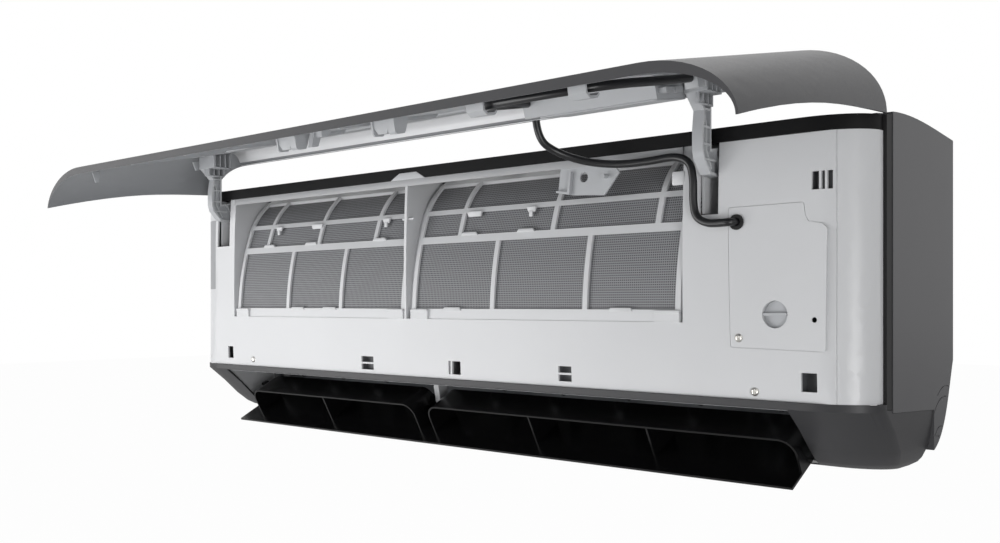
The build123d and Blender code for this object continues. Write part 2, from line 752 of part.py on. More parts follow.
# rear chassis: back wall, channel for the pipes, and the scroll behind the fan
end_wall_top = 10.0
scroll_half_width = 443.0
scroll_points = [(-35.5, -30.0), (-40, -62), (-57, -96), (-84, -130), (-116, -154.5)]
with BuildPart() as rear_chassis:
    with BuildSketch(Plane.YZ.offset(-chassis_half_width)):
        with BuildLine():
            Polyline(
                (-34, chassis_top - chassis_wall / 2),
                (chassis_back + chassis_wall / 2, chassis_top - chassis_wall / 2),
                (chassis_back + chassis_wall / 2, -30),
                (-35.5, -30),
            )
        trace(line_width=chassis_wall)
    extrude(amount=2 * chassis_half_width)
    with BuildSketch(Plane.YZ.offset(-scroll_half_width)):
        with BuildLine():
            Spline(*scroll_points)
        trace(line_width=chassis_wall)
    extrude(amount=2 * scroll_half_width)
    # slots that hang on the hooks of the mounting plate
    for side in (-1, 1):
        with Locations((side * hook_x, chassis_back + chassis_wall / 2, hook_z - 9.5)):
            Box(hook_width + 2, 3 * chassis_wall, 18, mode=Mode.SUBTRACT)
    # holes for the pipes through the shelf of the channel
    with Locations((gas_pipe_x, pipe_y, -30), (liquid_pipe_x, pipe_y, -30)):
        Cylinder(gas_pipe_radius + 2, 12, mode=Mode.SUBTRACT)
    # end walls that carry the fan, cut back clear of the panel's arms
    for left in (-442.0, 331.0):
        with BuildSketch(Plane.YZ.offset(left)):
            with BuildLine():
                Polyline(
                    (-36, end_wall_top),
                    (-133, end_wall_top),
                    (-133, -46),
                    (-127, -60),
                    (-100, -80),
                    (-78, -87),
                    (-54, -89),
                    (-40, -62),
                    (-36.0, -28),
                    close=True,
                )
            make_face()
            with Locations((fan_y, fan_z)):
                Circle(9 if left < 0 else 14, mode=Mode.SUBTRACT)
        extrude(amount=chassis_wall)
rear_chassis.part.label = "rear_chassis"
export_step(rear_chassis.part, "parts/rear_chassis.step")

# ------------------------------------------------------------------ air outlet
nose = (-131.5, -55.0)
pan_bottom = -74.0
upper_wall_points = [nose, (-136.5, -70.0), (-152.0, -82.0), (-193.0, -101.4)]
post_right = post_left + post_width
vane_y = -112.0
vane_z = -94.0
vane_axis = (-0.872, 0.487)
vane_flow = (-0.487, -0.872)
vane_half_height = 26.0
vane_half_length = 12.0
vane_thickness = 1.6
vane_pin_radius = 1.8
vane_pin_reach = 39.0
vane_pitch = 90.0
left_vane_start = -380.0
left_vane_count = 4
right_vane_start = 10.0
right_vane_count = 5
vane_places = [left_vane_start + vane_pitch * i for i in range(left_vane_count)]
vane_places += [right_vane_start + vane_pitch * i for i in range(right_vane_count)]


def vane_plane(x, along):
    """Plane square to a vane's pivot, at a distance along it from the vane's middle."""
    return Plane(
        origin=(x, vane_y + vane_axis[0] * along, vane_z + vane_axis[1] * along),
        x_dir=(1, 0, 0),
        z_dir=(0, vane_axis[0], vane_axis[1]),
    )


with BuildPart() as outlet_frame:
    with BuildSketch(Plane.YZ.offset(-outlet_half_width)):
        with BuildLine():
            Polyline(*upper_wall_points)
        trace(line_width=outlet_wall)
    extrude(amount=2 * outlet_half_width)
    # end walls with the louver's bearings
    for left in (-outlet_half_width - outlet_wall, outlet_half_width):
        with BuildSketch(Plane.YZ.offset(left)):
            with BuildLine():
                Polyline(
                    (nose[0] - 2, nose[1]),
                    (-139.0, -70.5),
                    (-152.6, -80.4),
                    (-193.0, -99.6),
                    (-189.0, -104.0),
                    (-184.5, -107.5),
                    (-138.0, -150.5),
                    (-122.0, -152.0),
                    (-108.0, -144.0),
                    (nose[0] + 4, -62),
                    close=True,
                )
            make_face()
            with Locations((louver_y, louver_z)):
                Circle(louver_pin_radius + shaft_clearance, mode=Mode.SUBTRACT)
        extrude(amount=outlet_wall)
    # post that carries the middle of the louver
    with BuildSketch(Plane.YZ.offset(post_left)):
        with BuildLine():
            Polyline((-150, -82), (-128, -68), (louver_y + 6, louver_z), (louver_y - 6, louver_z), close=True)
        make_face()
        with Locations((louver_y, louver_z)):
            Circle(6)
            Circle(louver_pin_radius + shaft_clearance, mode=Mode.SUBTRACT)
    extrude(amount=post_width)
    # ribs that carry the drain pan
    for x in (-400.0, -200.0, 0.0, 160.0, 310.0):
        with BuildSketch(Plane.YZ.offset(x)):
            with BuildLine():
                Polyline((-182, pan_bottom), (-150, pan_bottom), (-150, -80.0), (-182, -95.5), close=True)
            make_face()
        extrude(amount=outlet_wall)
    # sockets for the vane pivots
    for x in vane_places:
        with BuildSketch(vane_plane(x, vane_half_height + 2.0)):
            Circle(vane_pin_radius + 2)
        extrude(amount=vane_pin_reach - vane_half_height - 4.0)
        with BuildSketch(vane_plane(x, vane_half_height)):
            Circle(vane_pin_radius + shaft_clearance)
        extrude(amount=vane_pin_reach - vane_half_height + 2.0, mode=Mode.SUBTRACT)
outlet_frame.part.label = "outlet_frame"
export_step(outlet_frame.part, "parts/outlet_frame.step")

# vanes and their link bars
link_pin_offset = -9.0
link_pin_radius = 1.2
link_pin_reach = 4.0
link_thickness = 2.0
link_width = 8.0
link_gap = 0.4
vane_swing = 30.0


def vane_outline():
    """Blade of a vane seen from the side: along the pivot, and along the air."""
    with BuildSketch() as shape:
        with BuildLine():
            Polyline(
                (-vane_half_height, -vane_half_length),
                (-vane_half_height, vane_half_length - 6),
            )
            ThreePointArc(
                (-vane_half_height, vane_half_length - 6),
                (-vane_half_height + 1.8, vane_half_length - 1.8),
                (-vane_half_height + 6, vane_half_length),
            )
            Line((-vane_half_height + 6, vane_half_length), (vane_half_height - 6, vane_half_length))
            ThreePointArc(
                (vane_half_height - 6, vane_half_length),
                (vane_half_height - 1.8, vane_half_length - 1.8),
                (vane_half_height, vane_half_length - 6),
            )
            Polyline(
                (vane_half_height, vane_half_length - 6),
                (vane_half_height, -vane_half_length),
                (-vane_half_height, -vane_half_length),
            )
        make_face()
    return shape.sketch


vane_blade = vane_outline()
vanes = []
for number, x in enumerate(vane_places):
    blade_plane = Plane(
        origin=(x - vane_thickness / 2, vane_y, vane_z),
        x_dir=(0, vane_axis[0], vane_axis[1]),
        z_dir=(1, 0, 0),
    )
    with BuildPart() as vane:
        with BuildSketch(blade_plane):
            add(vane_blade)
        extrude(amount=vane_thickness)
        with BuildSketch(vane_plane(x, vane_half_height - 6.0)):
            Circle(vane_pin_radius + 1.2)
        extrude(amount=6.0)
        with BuildSketch(vane_plane(x, vane_half_height)):
            Circle(vane_pin_radius)
        extrude(amount=vane_pin_reach - vane_half_height)
        pin_spot = vane_plane(x, -vane_half_height)
        link_origin = (
            x,
            pin_spot.origin.Y + vane_flow[0] * link_pin_offset,
            pin_spot.origin.Z + vane_flow[1] * link_pin_offset,
        )
        with BuildSketch(Plane(origin=link_origin, x_dir=(1, 0, 0), z_dir=(0, -vane_axis[0], -vane_axis[1]))):
            Circle(link_pin_radius)
        extrude(amount=link_pin_reach)
    vane.part.label = "vane_" + str(number + 1)
    export_step(vane.part, "parts/vane_" + str(number + 1) + ".step")
    vanes.append(vane)

link_bars = []
for name, start, count in (("left", left_vane_start, left_vane_count), ("right", right_vane_start, right_vane_count)):
    bar_plane = Plane(
        origin=(
            start + vane_pitch * (count - 1) / 2,
            vane_y - vane_axis[0] * (vane_half_height + link_gap) + vane_flow[0] * link_pin_offset,
            vane_z - vane_axis[1] * (vane_half_height + link_gap) + vane_flow[1] * link_pin_offset,
        ),
        x_dir=(1, 0, 0),
        z_dir=(0, -vane_axis[0], -vane_axis[1]),
    )
    with BuildPart() as link_bar:
        with BuildSketch(bar_plane):
            RectangleRounded(vane_pitch * (count - 1) + 14, link_width, 3)
            with GridLocations(vane_pitch, 1, count, 1):
                with Locations((0, 0)):
                    Rectangle(2 * link_pin_radius + 0.6, 2 * link_pin_radius + 2.8, mode=Mode.SUBTRACT)
        extrude(amount=link_thickness)
    link_bar.part.label = name + "_link_bar"
    export_step(link_bar.part, "parts/" + name + "_link_bar.step")
    link_bars.append(link_bar)

# louver: a long flap under two hooded boxes, hung on three pins
louver_thickness = 2.5
flap_front = -60.1
flap_rear = 20.1
flap_below = 22.9
hood_above = 14.5
hood_front = -37.7
hood_rear = 2.3
hood_wall = 2.0
hood_corner = 17.0
hood_spans = [(-400.0, -72.0), (-48.7, louver_half_width)]
fin_places = [-241.0, 111.0, 263.5]
louver_plane = Plane(
    origin=(0, louver_y, louver_z),
    x_dir=(1, 0, 0),
    z_dir=(0, cos(radians(louver_slope)), sin(radians(louver_slope))),
)


def louver_section(along):
    """Plane across the louver at a distance along its slope from the pivot."""
    return louver_plane.offset(along)


with BuildPart() as louver_flap:
    with BuildSketch(louver_section(flap_front)):
        with Locations((0, flap_below - louver_thickness / 2)):
            Rectangle(2 * louver_half_width, louver_thickness)
    extrude(amount=flap_rear - flap_front)
    # left hanger with its pin
    with BuildSketch(Plane.YZ.offset(-louver_half_width)):
        with BuildLine():
            foot = flap_below - louver_thickness
            a = louver_section(-16).from_local_coords((0, foot, 0))
            b = louver_section(16).from_local_coords((0, foot, 0))
            Polyline((a.Y, a.Z), (b.Y, b.Z), (louver_y + 5, louver_z), (louver_y - 5, louver_z), close=True)
        make_face()
        with Locations((louver_y, louver_z)):
            Circle(5)
    extrude(amount=3)
    with BuildSketch(Plane.YZ.offset(-louver_half_width)):
        with Locations((louver_y, louver_z)):
            Circle(louver_pin_radius)
    extrude(amount=-(outlet_half_width + outlet_wall - louver_half_width) - 1)
louver_flap.part.label = "louver_flap"
export_step(louver_flap.part, "parts/louver_flap.step")

with BuildPart() as louver_hoods:
    for span in hood_spans:
        middle = (span[0] + span[1]) / 2
        width = span[1] - span[0]
        foot = flap_below - louver_thickness
        with BuildSketch(louver_section(hood_front)):
            with Locations((middle, (foot - hood_above) / 2 + hood_corner)):
                RectangleRounded(width, foot + hood_above + 2 * hood_corner, hood_corner)
            with Locations((middle, (foot - hood_above) / 2 + hood_corner + hood_wall)):
                RectangleRounded(
                    width - 2 * hood_wall,
                    foot + hood_above + 2 * hood_corner,
                    hood_corner - hood_wall,
                    mode=Mode.SUBTRACT,
                )
            with Locations((middle, foot + 50)):
                Rectangle(width + 10, 100, mode=Mode.SUBTRACT)
            for fin in fin_places:
                if span[0] < fin < span[1]:
                    with Locations((fin, (foot - hood_above) / 2)):
                        Rectangle(hood_wall, foot + hood_above)
        extrude(amount=hood_rear - hood_front)
    # bosses and pins on the pivot
    for end in (hood_spans[0][1] - hood_wall, hood_spans[1][0], hood_spans[1][1] - hood_wall):
        with BuildSketch(Plane.YZ.offset(end)):
            with Locations((louver_y, louver_z)):
                Circle(6)
        extrude(amount=hood_wall)
    with BuildSketch(Plane.YZ.offset(hood_spans[0][1])):
        with Locations((louver_y, louver_z)):
            Circle(louver_pin_radius)
    extrude(amount=hood_spans[1][0] - hood_spans[0][1] - joint_gap)
    with BuildSketch(Plane.YZ.offset(hood_spans[1][1])):
        with Locations((louver_y, louver_z)):
            Circle(louver_pin_radius)
    extrude(amount=outlet_half_width + outlet_wall - louver_half_width + 9)
louver_hoods.part.label = "louver_hoods"
export_step(louver_hoods.part, "parts/louver_hoods.step")

with BuildPart() as louver_motor:
    motor_face = outlet_half_width + outlet_wall
    with BuildSketch(Plane.YZ.offset(motor_face)):
        with Locations((louver_y + 7, louver_z)):
            Circle(14)
        with Locations((louver_y + 7, louver_z)):
            SlotOverall(42, 8)
    extrude(amount=1.5)
    with BuildSketch(Plane.YZ.offset(motor_face)):
        with Locations((louver_y + 7, louver_z)):
            Circle(14)
        with Locations((louver_y + 21, louver_z)):
            Rectangle(8, 15)
    extrude(amount=19)
    with BuildSketch(Plane.YZ.offset(motor_face)):
        with Locations((louver_y, louver_z)):
            Circle(louver_pin_radius + shaft_clearance)
    extrude(amount=11, mode=Mode.SUBTRACT)
louver_motor.part.label = "louver_motor"
export_step(louver_motor.part, "parts/louver_motor.step")

# ------------------------------------------------------------------ fan
blade_count = 24
blade_inner = 33.0
blade_outer = fan_radius - 0.6
blade_thickness = 1.3
ring_count = 6
ring_thickness = 3.0
with BuildSketch() as fan_blade:
    with BuildLine():
        SagittaArc((blade_inner, 0), (blade_outer * cos(0.20), blade_outer * sin(0.20)), -2.2)
    trace(line_width=blade_thickness)
with BuildPart() as fan_rotor:
    with BuildSketch(Plane.YZ.offset(fan_left)):
        for number in range(blade_count):
            turned = fan_blade.sketch.rotate(Axis.Z, number * 360 / blade_count)
            add(turned.moved(Location((fan_y, fan_z, 0))))
    extrude(amount=fan_right - fan_left)
    ring_step = (fan_right - fan_left - ring_thickness) / (ring_count - 1)
    for number in range(ring_count):
        with BuildSketch(Plane.YZ.offset(fan_left + number * ring_step)):
            with Locations((fan_y, fan_z)):
                Circle(fan_radius)
                if 0 < number < ring_count - 1:
                    Circle(blade_inner - 4, mode=Mode.SUBTRACT)
        extrude(amount=ring_thickness)
    with BuildSketch(Plane.YZ.offset(fan_left - 18)):
        with Locations((fan_y, fan_z)):
            Circle(fan_shaft_radius)
    extrude(amount=20)
    with BuildSketch(Plane.YZ.offset(fan_right - 22)):
        with Locations((fan_y, fan_z)):
            Circle(10)
    extrude(amount=22)
    with BuildSketch(Plane.YZ.offset(fan_right)):
        with Locations((fan_y, fan_z)):
            Circle(fan_shaft_radius)
    extrude(amount=24)
fan_rotor.part.label = "fan_rotor"
export_step(fan_rotor.part, "parts/fan_rotor.step")

with BuildPart() as fan_bush:
    with BuildSketch(Plane.YZ.offset(-446)):
        with Locations((fan_y, fan_z)):
            Circle(9)
            Circle(fan_shaft_radius + shaft_clearance, mode=Mode.SUBTRACT)
    extrude(amount=10)
    with BuildSketch(Plane.YZ.offset(-446)):
        with Locations((fan_y, fan_z)):
            Circle(12)
            Circle(9, mode=Mode.SUBTRACT)
    extrude(amount=4)
fan_bush.part.label = "fan_bush"
export_step(fan_bush.part, "parts/fan_bush.step")

motor_left = 338.0
motor_length = 74.0
motor_radius = 44.0
with BuildPart() as fan_motor:
    with BuildSketch(Plane(origin=(0, fan_y, fan_z), x_dir=(1, 0, 0), z_dir=(0, 0, 1))):
        with BuildLine():
            Polyline(
                (motor_left - 3, 0),
                (motor_left - 3, 12),
                (motor_left, 12),
                (motor_left + 3, motor_radius - 5),
                (motor_left + 10, motor_radius - 3),
                (motor_left + 20, motor_radius - 3),
                (motor_left + 20, motor_radius),
                (motor_left + 54, motor_radius),
                (motor_left + 54, motor_radius - 3),
                (motor_left + motor_length - 8, motor_radius - 5),
                (motor_left + motor_length, motor_radius - 14),
                (motor_left + motor_length, 0),
                close=True,
            )
        make_face()
    revolve(axis=Axis((0, fan_y, fan_z), (1, 0, 0)), revolution_arc=360)
    with BuildSketch(Plane.YZ.offset(motor_left - 4)):
        with Locations((fan_y, fan_z)):
            Circle(fan_shaft_radius + shaft_clearance)
    extrude(amount=21, mode=Mode.SUBTRACT)
fan_motor.part.label = "fan_motor"
export_step(fan_motor.part, "parts/fan_motor.step")

with BuildPart() as motor_bracket:
    with BuildSketch(Plane.YZ.offset(motor_left + 24)):
        with Locations((fan_y, fan_z)):
            Circle(motor_radius + 2.6)
            Circle(motor_radius + 0.1, mode=Mode.SUBTRACT)
        with Locations((fan_y, fan_z - 50 - 22)):
            Rectangle(120, 100, mode=Mode.SUBTRACT)
        with BuildLine():
            Polyline(
                (-42.5, -22.0),
                (-40.0, -18.0),
                (-26.0, -26.0),
                (-10.0, -26.0),
                (-10.0, -28.5),
                (-34.0, -28.5),
                (-41.5, -24.4),
                close=True,
            )
        make_face()
    extrude(amount=22)
motor_bracket.part.label = "motor_bracket"
export_step(motor_bracket.part, "parts/motor_bracket.step")

# ------------------------------------------------------------------ coil and drain
tube_gap = 0.1
tube_pitch = 21.0
coil_end = 2.5
coil_blocks = [
    ("front", -161.5, 5.0, 112.0, 90.0, 5),
    ("front", -137.0, 94.0, 66.0, 52.2, 3),
    ("rear", -62.5, 69.5, 124.0, 119.7, 5),
]
tube_spots = []
for name, mid_y, mid_z, length, lean, tubes in coil_blocks:
    along = (cos(radians(lean)), sin(radians(lean)))
    spots = []
    for number in range(tubes):
        reach = (number - (tubes - 1) / 2) * tube_pitch
        spots.append((mid_y + along[0] * reach, mid_z + along[1] * reach))
    tube_spots.append(spots)
for side in ("front", "rear"):
    with BuildPart() as coil:
        for block, spots in zip(coil_blocks, tube_spots):
            name, mid_y, mid_z, length, lean, tubes = block
            if name != side:
                continue
            with BuildSketch(Plane.YZ.offset(coil_left)):
                with Locations(Location((mid_y, mid_z, 0), (0, 0, lean))):
                    Rectangle(length, coil_depth)
                for spot in spots:
                    with Locations(spot):
                        Circle(tube_radius + tube_gap, mode=Mode.SUBTRACT)
            extrude(amount=coil_right - coil_left)
    coil.part.label = "coil_" + side
    export_step(coil.part, "parts/coil_" + side + ".step")

with BuildPart() as coil_end_plates:
    for left in (coil_left - coil_end, coil_right):
        with BuildSketch(Plane.YZ.offset(left)):
            for name, mid_y, mid_z, length, lean, tubes in coil_blocks:
                with Locations(Location((mid_y, mid_z, 0), (0, 0, lean))):
                    Rectangle(length, coil_depth)
            # links between the blocks, and the foot on the chassis wall
            Polygon((-173.5, 58), (-149.5, 58), (-146, 70), (-164.5, 78), align=None)
            Polygon((-124, 128.5), (-108, 112), (-92, 112), (-86, 131.5), align=None)
            Polygon((-40, 40), (-66, 98), (chassis_back, 98), (chassis_back, 40), align=None)
            for spots in tube_spots:
                for spot in spots:
                    with Locations(spot):
                        Circle(tube_radius + tube_gap, mode=Mode.SUBTRACT)
        extrude(amount=coil_end)
coil_end_plates.part.label = "coil_end_plates"
export_step(coil_end_plates.part, "parts/coil_end_plates.step")

tube_start = coil_left - coil_end - 2
tube_finish = coil_right + coil_end + 2
with BuildPart() as coil_tubes:
    for spots in tube_spots:
        for spot in spots:
            with BuildSketch(Plane.YZ.offset(tube_start)):
                with Locations(spot):
                    Circle(tube_radius)
            extrude(amount=tube_finish - tube_start)
        # return bends, in turn at one end and the other
        for number in range(len(spots) - 1):
            end = tube_start if number % 2 else tube_finish
            y1, z1 = spots[number]
            y2, z2 = spots[number + 1]
            middle = ((y1 + y2) / 2, (z1 + z2) / 2)
            turn = Axis((end, middle[0], middle[1]), (0, -(z2 - z1), y2 - y1))
            with BuildSketch(Plane(origin=(end, y1, z1), x_dir=(0, 1, 0), z_dir=(1, 0, 0))):
                Circle(tube_radius)
            revolve(axis=turn, revolution_arc=-180 if number % 2 else 180)
coil_tubes.part.label = "coil_tubes"
export_step(coil_tubes.part, "parts/coil_tubes.step")

pan_front = -190.0
pan_rear = -142.0
pan_top = -54.0
pan_left = -412.0
pan_right = 322.0
with BuildPart() as drain_pan:
    with BuildSketch(Plane.YZ.offset(pan_left)):
        with BuildLine():
            Polyline(
                (pan_front, pan_top),
                (pan_front + 6, pan_bottom),
                (pan_rear - 6, pan_bottom),
                (pan_rear, pan_top),
                close=True,
            )
        make_face()
    extrude(amount=pan_right - pan_left)
    with BuildSketch(Plane.YZ.offset(pan_left + 2)):
        with BuildLine():
            Polyline(
                (pan_front + 2, pan_top + 1),
                (pan_front + 7.7, pan_bottom + 2),
                (pan_rear - 7.7, pan_bottom + 2),
                (pan_rear - 2, pan_top + 1),
                close=True,
            )
        make_face()
    extrude(amount=pan_right - pan_left - 4, mode=Mode.SUBTRACT)
    # saddles under the front coil
    for x in (-300.0, -45.0, 210.0):
        with Locations((x, (pan_front + pan_rear) / 2, (pan_bottom + 1 - 51) / 2)):
            Box(3, 26, -51 - pan_bottom - 1)
    with BuildSketch(Plane.YZ.offset(pan_right - 3)):
        with Locations(((pan_front + pan_rear) / 2, pan_bottom + 10)):
            Circle(6.5)
    extrude(amount=4, mode=Mode.SUBTRACT)
drain_pan.part.label = "drain_pan"
export_step(drain_pan.part, "parts/drain_pan.step")

with BuildPart() as drain_spigot:
    with BuildSketch(Plane.YZ.offset(pan_right)):
        with Locations(((pan_front + pan_rear) / 2, pan_bottom + 10)):
            Circle(9.5)
            Circle(6.5, mode=Mode.SUBTRACT)
    extrude(amount=3)
    with BuildSketch(Plane.YZ.offset(pan_right)):
        with Locations(((pan_front + pan_rear) / 2, pan_bottom + 10)):
            Circle(8.5)
            Circle(6.5, mode=Mode.SUBTRACT)
    extrude(amount=24)
drain_spigot.part.label = "drain_spigot"
export_step(drain_spigot.part, "parts/drain_spigot.step")

# refrigerant pipes down to the channel behind the unit, with their flare nuts
pipe_start = coil_right + coil_end
gas_pipe_level = -48.0
liquid_pipe_level = -68.0
with BuildPart() as gas_pipe:
    with BuildLine() as gas_route:
        FilletPolyline(
            (pipe_start, pipe_y, gas_pipe_z),
            (gas_pipe_x, pipe_y, gas_pipe_z),
            (gas_pipe_x, pipe_y, gas_pipe_level),
            (236, pipe_y, gas_pipe_level),
            radius=18,
        )
    with BuildSketch(Plane(origin=gas_route.wire() @ 0, z_dir=gas_route.wire() % 0)):
        Circle(gas_pipe_radius)
    sweep()
gas_pipe.part.label = "gas_pipe"
export_step(gas_pipe.part, "parts/gas_pipe.step")

with BuildPart() as liquid_pipe:
    with BuildLine() as liquid_route:
        FilletPolyline(
            (pipe_start, pipe_y, liquid_pipe_z),
            (liquid_pipe_x, pipe_y, liquid_pipe_z),
            (liquid_pipe_x, pipe_y, liquid_pipe_level),
            (206, pipe_y, liquid_pipe_level),
            radius=14,
        )
    with BuildSketch(Plane(origin=liquid_route.wire() @ 0, z_dir=liquid_route.wire() % 0)):
        Circle(liquid_pipe_radius)
    sweep()
liquid_pipe.part.label = "liquid_pipe"
export_step(liquid_pipe.part, "parts/liquid_pipe.step")

with BuildPart() as flare_nuts:
    for x, level, bore, across in (
        (236.0, gas_pipe_level, gas_pipe_radius, 11.0),
        (206.0, liquid_pipe_level, liquid_pipe_radius, 8.0),
    ):
        with BuildSketch(Plane.YZ.offset(x + 6)):
            with Locations((pipe_y, level)):
                RegularPolygon(radius=across, side_count=6, major_radius=False)
                Circle(bore + 0.05, mode=Mode.SUBTRACT)
        extrude(amount=-20)
        with BuildSketch(Plane.YZ.offset(x - 0.3)):
            with Locations((pipe_y, level)):
                Circle(bore + 2)
                Circle(bore - 1, mode=Mode.SUBTRACT)
        extrude(amount=-14, mode=Mode.SUBTRACT)
flare_nuts.part.label = "flare_nuts"
export_step(flare_nuts.part, "parts/flare_nuts.step")

# ------------------------------------------------------------------ controls behind the cover
box_left = 380.0
box_right = 478.0
box_front = -150.0
box_back = -42.0
box_low = 16.0
box_high = 126.0
box_wall = 2.0
board_thickness = 1.6
board_y = -62.0
with BuildPart() as control_box:
    with Locations(((box_left + box_right) / 2, (box_front + box_back) / 2, (box_low + box_high) / 2)):
        Box(box_right - box_left, box_back - box_front, box_high - box_low)
    with Locations(((box_left + box_right) / 2, (box_front + box_back) / 2 - 6, (box_low + box_high) / 2)):
        Box(
            box_right - box_left - 2 * box_wall,
            box_back - box_front - 2 * box_wall + 6,
            box_high - box_low - 2 * box_wall,
            mode=Mode.SUBTRACT,
        )
    # step at the front for the terminals
    with Locations(((box_left + box_right) / 2, box_front + box_wall / 2, box_low + 19)):
        Box(box_right - box_left, box_wall, 38)
    # pillars for the board, and feet against the chassis
    for x in (box_left + 10, box_right - 10):
        for z in (box_low + 10, box_high - 10):
            with BuildSketch(Plane(origin=(x, box_back - box_wall + 0.5, z), x_dir=(1, 0, 0), z_dir=(0, -1, 0))):
                Circle(3)
            extrude(amount=box_back - box_wall + 0.5 - board_y)
    for x in (box_left + 26, box_right - 10):
        with Locations((x, (box_back + chassis_back) / 2, box_high - 14)):
            Box(5, chassis_back - box_back, 22)
control_box.part.label = "control_box"
export_step(control_box.part, "parts/control_box.step")

with BuildPart() as control_board:
    with Locations(((box_left + box_right) / 2, board_y - board_thickness / 2, (box_low + box_high) / 2)):
        Box(box_right - box_left - 8, board_thickness, box_high - box_low - 8)
    for x, z, wide, tall, deep in (
        (400.0, 40.0, 19.0, 15.0, 15.0),
        (400.0, 62.0, 19.0, 15.0, 15.0),
        (446.0, 96.0, 28.0, 22.0, 24.0),
        (450.0, 60.0, 8.0, 30.0, 12.0),
    ):
        with Locations((x, board_y - board_thickness - deep / 2, z)):
            Box(wide, deep, tall)
    with BuildSketch(Plane(origin=(404, board_y - board_thickness, 98), x_dir=(1, 0, 0), z_dir=(0, -1, 0))):
        Circle(11)
    extrude(amount=30)
control_board.part.label = "control_board"
export_step(control_board.part, "parts/control_board.step")

terminal_front = -174.0
with BuildPart() as terminal_block:
    with Locations((416, (terminal_front + box_front) / 2 + 6, 34)):
        Box(62, box_front - terminal_front - 12, 26)
    for number in range(5):
        with Locations((392.8 + 11.6 * number, (terminal_front + box_front) / 2, 34)):
            Box(1.6, box_front - terminal_front, 26)
    for number in range(5):
        with Locations((398.6 + 11.6 * number, terminal_front + 10, 34)):
            if number < 4:
                Box(8.4, 5, 12)
terminal_block.part.label = "terminal_block"
export_step(terminal_block.part, "parts/terminal_block.step")

# ------------------------------------------------------------------ filters
filter_frame_band = filter_band(0.0, filter_thickness)
filter_mesh_band = filter_band(filter_thickness, filter_thickness + mesh_thickness)
rib_width = 6.0
bar_levels = [(filter_bottom - 1, -14.8), (60.0, 68.5), (94.0, 99.7)]
# the grips stop short of the module on the shut panel
grip_front = -201.7
grip_step = 0.7
filters = []
meshes = []
for name, left, right, lower_ribs, upper_ribs in (
    ("left", filter_left_edge, filter_divider_left - 1.5, (-284.0, -176.0), (-345.0, -235.0, -125.0)),
    ("right", filter_divider_left + divider_thickness + 7.5, filter_right_edge, (80.0, 206.0), (20.0, 155.0, 285.0)),
):
    with BuildPart() as filter_frame:
        with BuildSketch(Plane.YZ.offset(left)):
            add(filter_frame_band)
        extrude(amount=right - left)
        # lower windows, upper windows, and the windows over the curved top
        for kind, ribs in (("lower", lower_ribs), ("upper", upper_ribs), ("crown", upper_ribs)):
            edges = [left + rib_width / 2] + list(ribs) + [right - rib_width / 2]
            for start, stop in zip(edges[:-1], edges[1:]):
                with BuildSketch(Plane.YZ.offset(start + rib_width / 2)):
                    if kind == "lower":
                        Polygon((-210, -14.8), (-150, -14.8), (-150, 60), (-210, 60), align=None)
                    if kind == "upper":
                        Polygon((-210, 68.5), (-150, 68.5), (-150, 94), (-210, 94), align=None)
                    if kind == "crown":
                        Polygon((-210, 99.7), (-130, 99.7), (-86, 120), (-86, 160), (-210, 160), align=None)
                extrude(amount=stop - start - rib_width, mode=Mode.SUBTRACT)
        # bar across the crown
        with BuildSketch(Plane.YZ.offset(left + 1)):
            add(filter_frame_band)
            with BuildSketch(mode=Mode.INTERSECT):
                Polygon((-150, 128), (-140, 122), (-133, 160), (-150, 160), align=None)
        extrude(amount=right - left - 2)
        # grips at the bottom corners
        for grip in (left + 14, right - 14):
            with Locations((grip, grip_front + grip_step + 1.3, filter_bottom + 5.5)):
                Box(28, 2.6, 11)
            with Locations((grip, grip_front + 1.35, filter_bottom + 9.5)):
                Box(28, 2.7, 3)
    filter_frame.part.label = "filter_frame_" + name
    export_step(filter_frame.part, "parts/filter_frame_" + name + ".step")
    filters.append(filter_frame)
    with BuildPart() as filter_mesh:
        with BuildSketch(Plane.YZ.offset(left + 2)):
            add(filter_mesh_band)
        extrude(amount=right - left - 4)
    filter_mesh.part.label = "filter_mesh_" + name
    export_step(filter_mesh.part, "parts/filter_mesh_" + name + ".step")
    meshes.append(filter_mesh)

# ------------------------------------------------------------------ front panel
# Its pieces are drawn shut, with the face nearly upright, and then swung open about the pins.
hinge_line = Axis((0, hinge_y, hinge_z), (1, 0, 0))
panel_lean = (panel_top_front - panel_bottom_front) / (147.0 + 96.0)
panel_depth_top = 60.0
panel_depth_bottom = 48.0
panel_low = -112.0
lip_slope = -0.22
lip_reach = 8.5
flange_reach = 26.0
flap_edge = [(-176.5, -106.5), (-180.8, -32.0), (-179.7, 42.7), (-175.5, 89.7), (-168.0, 152.0)]


def face_y(z):
    """Outside of the shut panel at a height."""
    return panel_bottom_front + panel_lean * (z + 96.0)


def inside_y(z):
    """Inside of the shut panel's skin at a height."""
    return face_y(z) + panel_thickness


def swing(piece):
    """Turn a piece from the shut panel to the raised one."""
    return piece.rotate(hinge_line, -panel_open_angle)


with BuildPart() as panel_core:
    for level, depth in ((panel_low - 2, panel_depth_bottom), (panel_top - panel_thickness, panel_depth_top)):
        with BuildSketch(Plane.XY.offset(level)):
            add(
                plan_shape(
                    inside_y(level),
                    body_half_width - panel_thickness,
                    -150,
                    panel_corner_run - panel_thickness,
                    depth - panel_thickness,
                )
            )
    loft(ruled=True)
    with BuildSketch(Plane.YZ.offset(-body_half_width)):
        with BuildLine():
            Polyline(
                (-240, panel_lip_z + panel_thickness + lip_slope * (-240 - panel_bottom_front)),
                (-140, panel_lip_z + panel_thickness + lip_slope * (-140 - panel_bottom_front)),
                (-140, -130),
                (-240, -130),
                close=True,
            )
        make_face()
    extrude(amount=2 * body_half_width, mode=Mode.SUBTRACT)

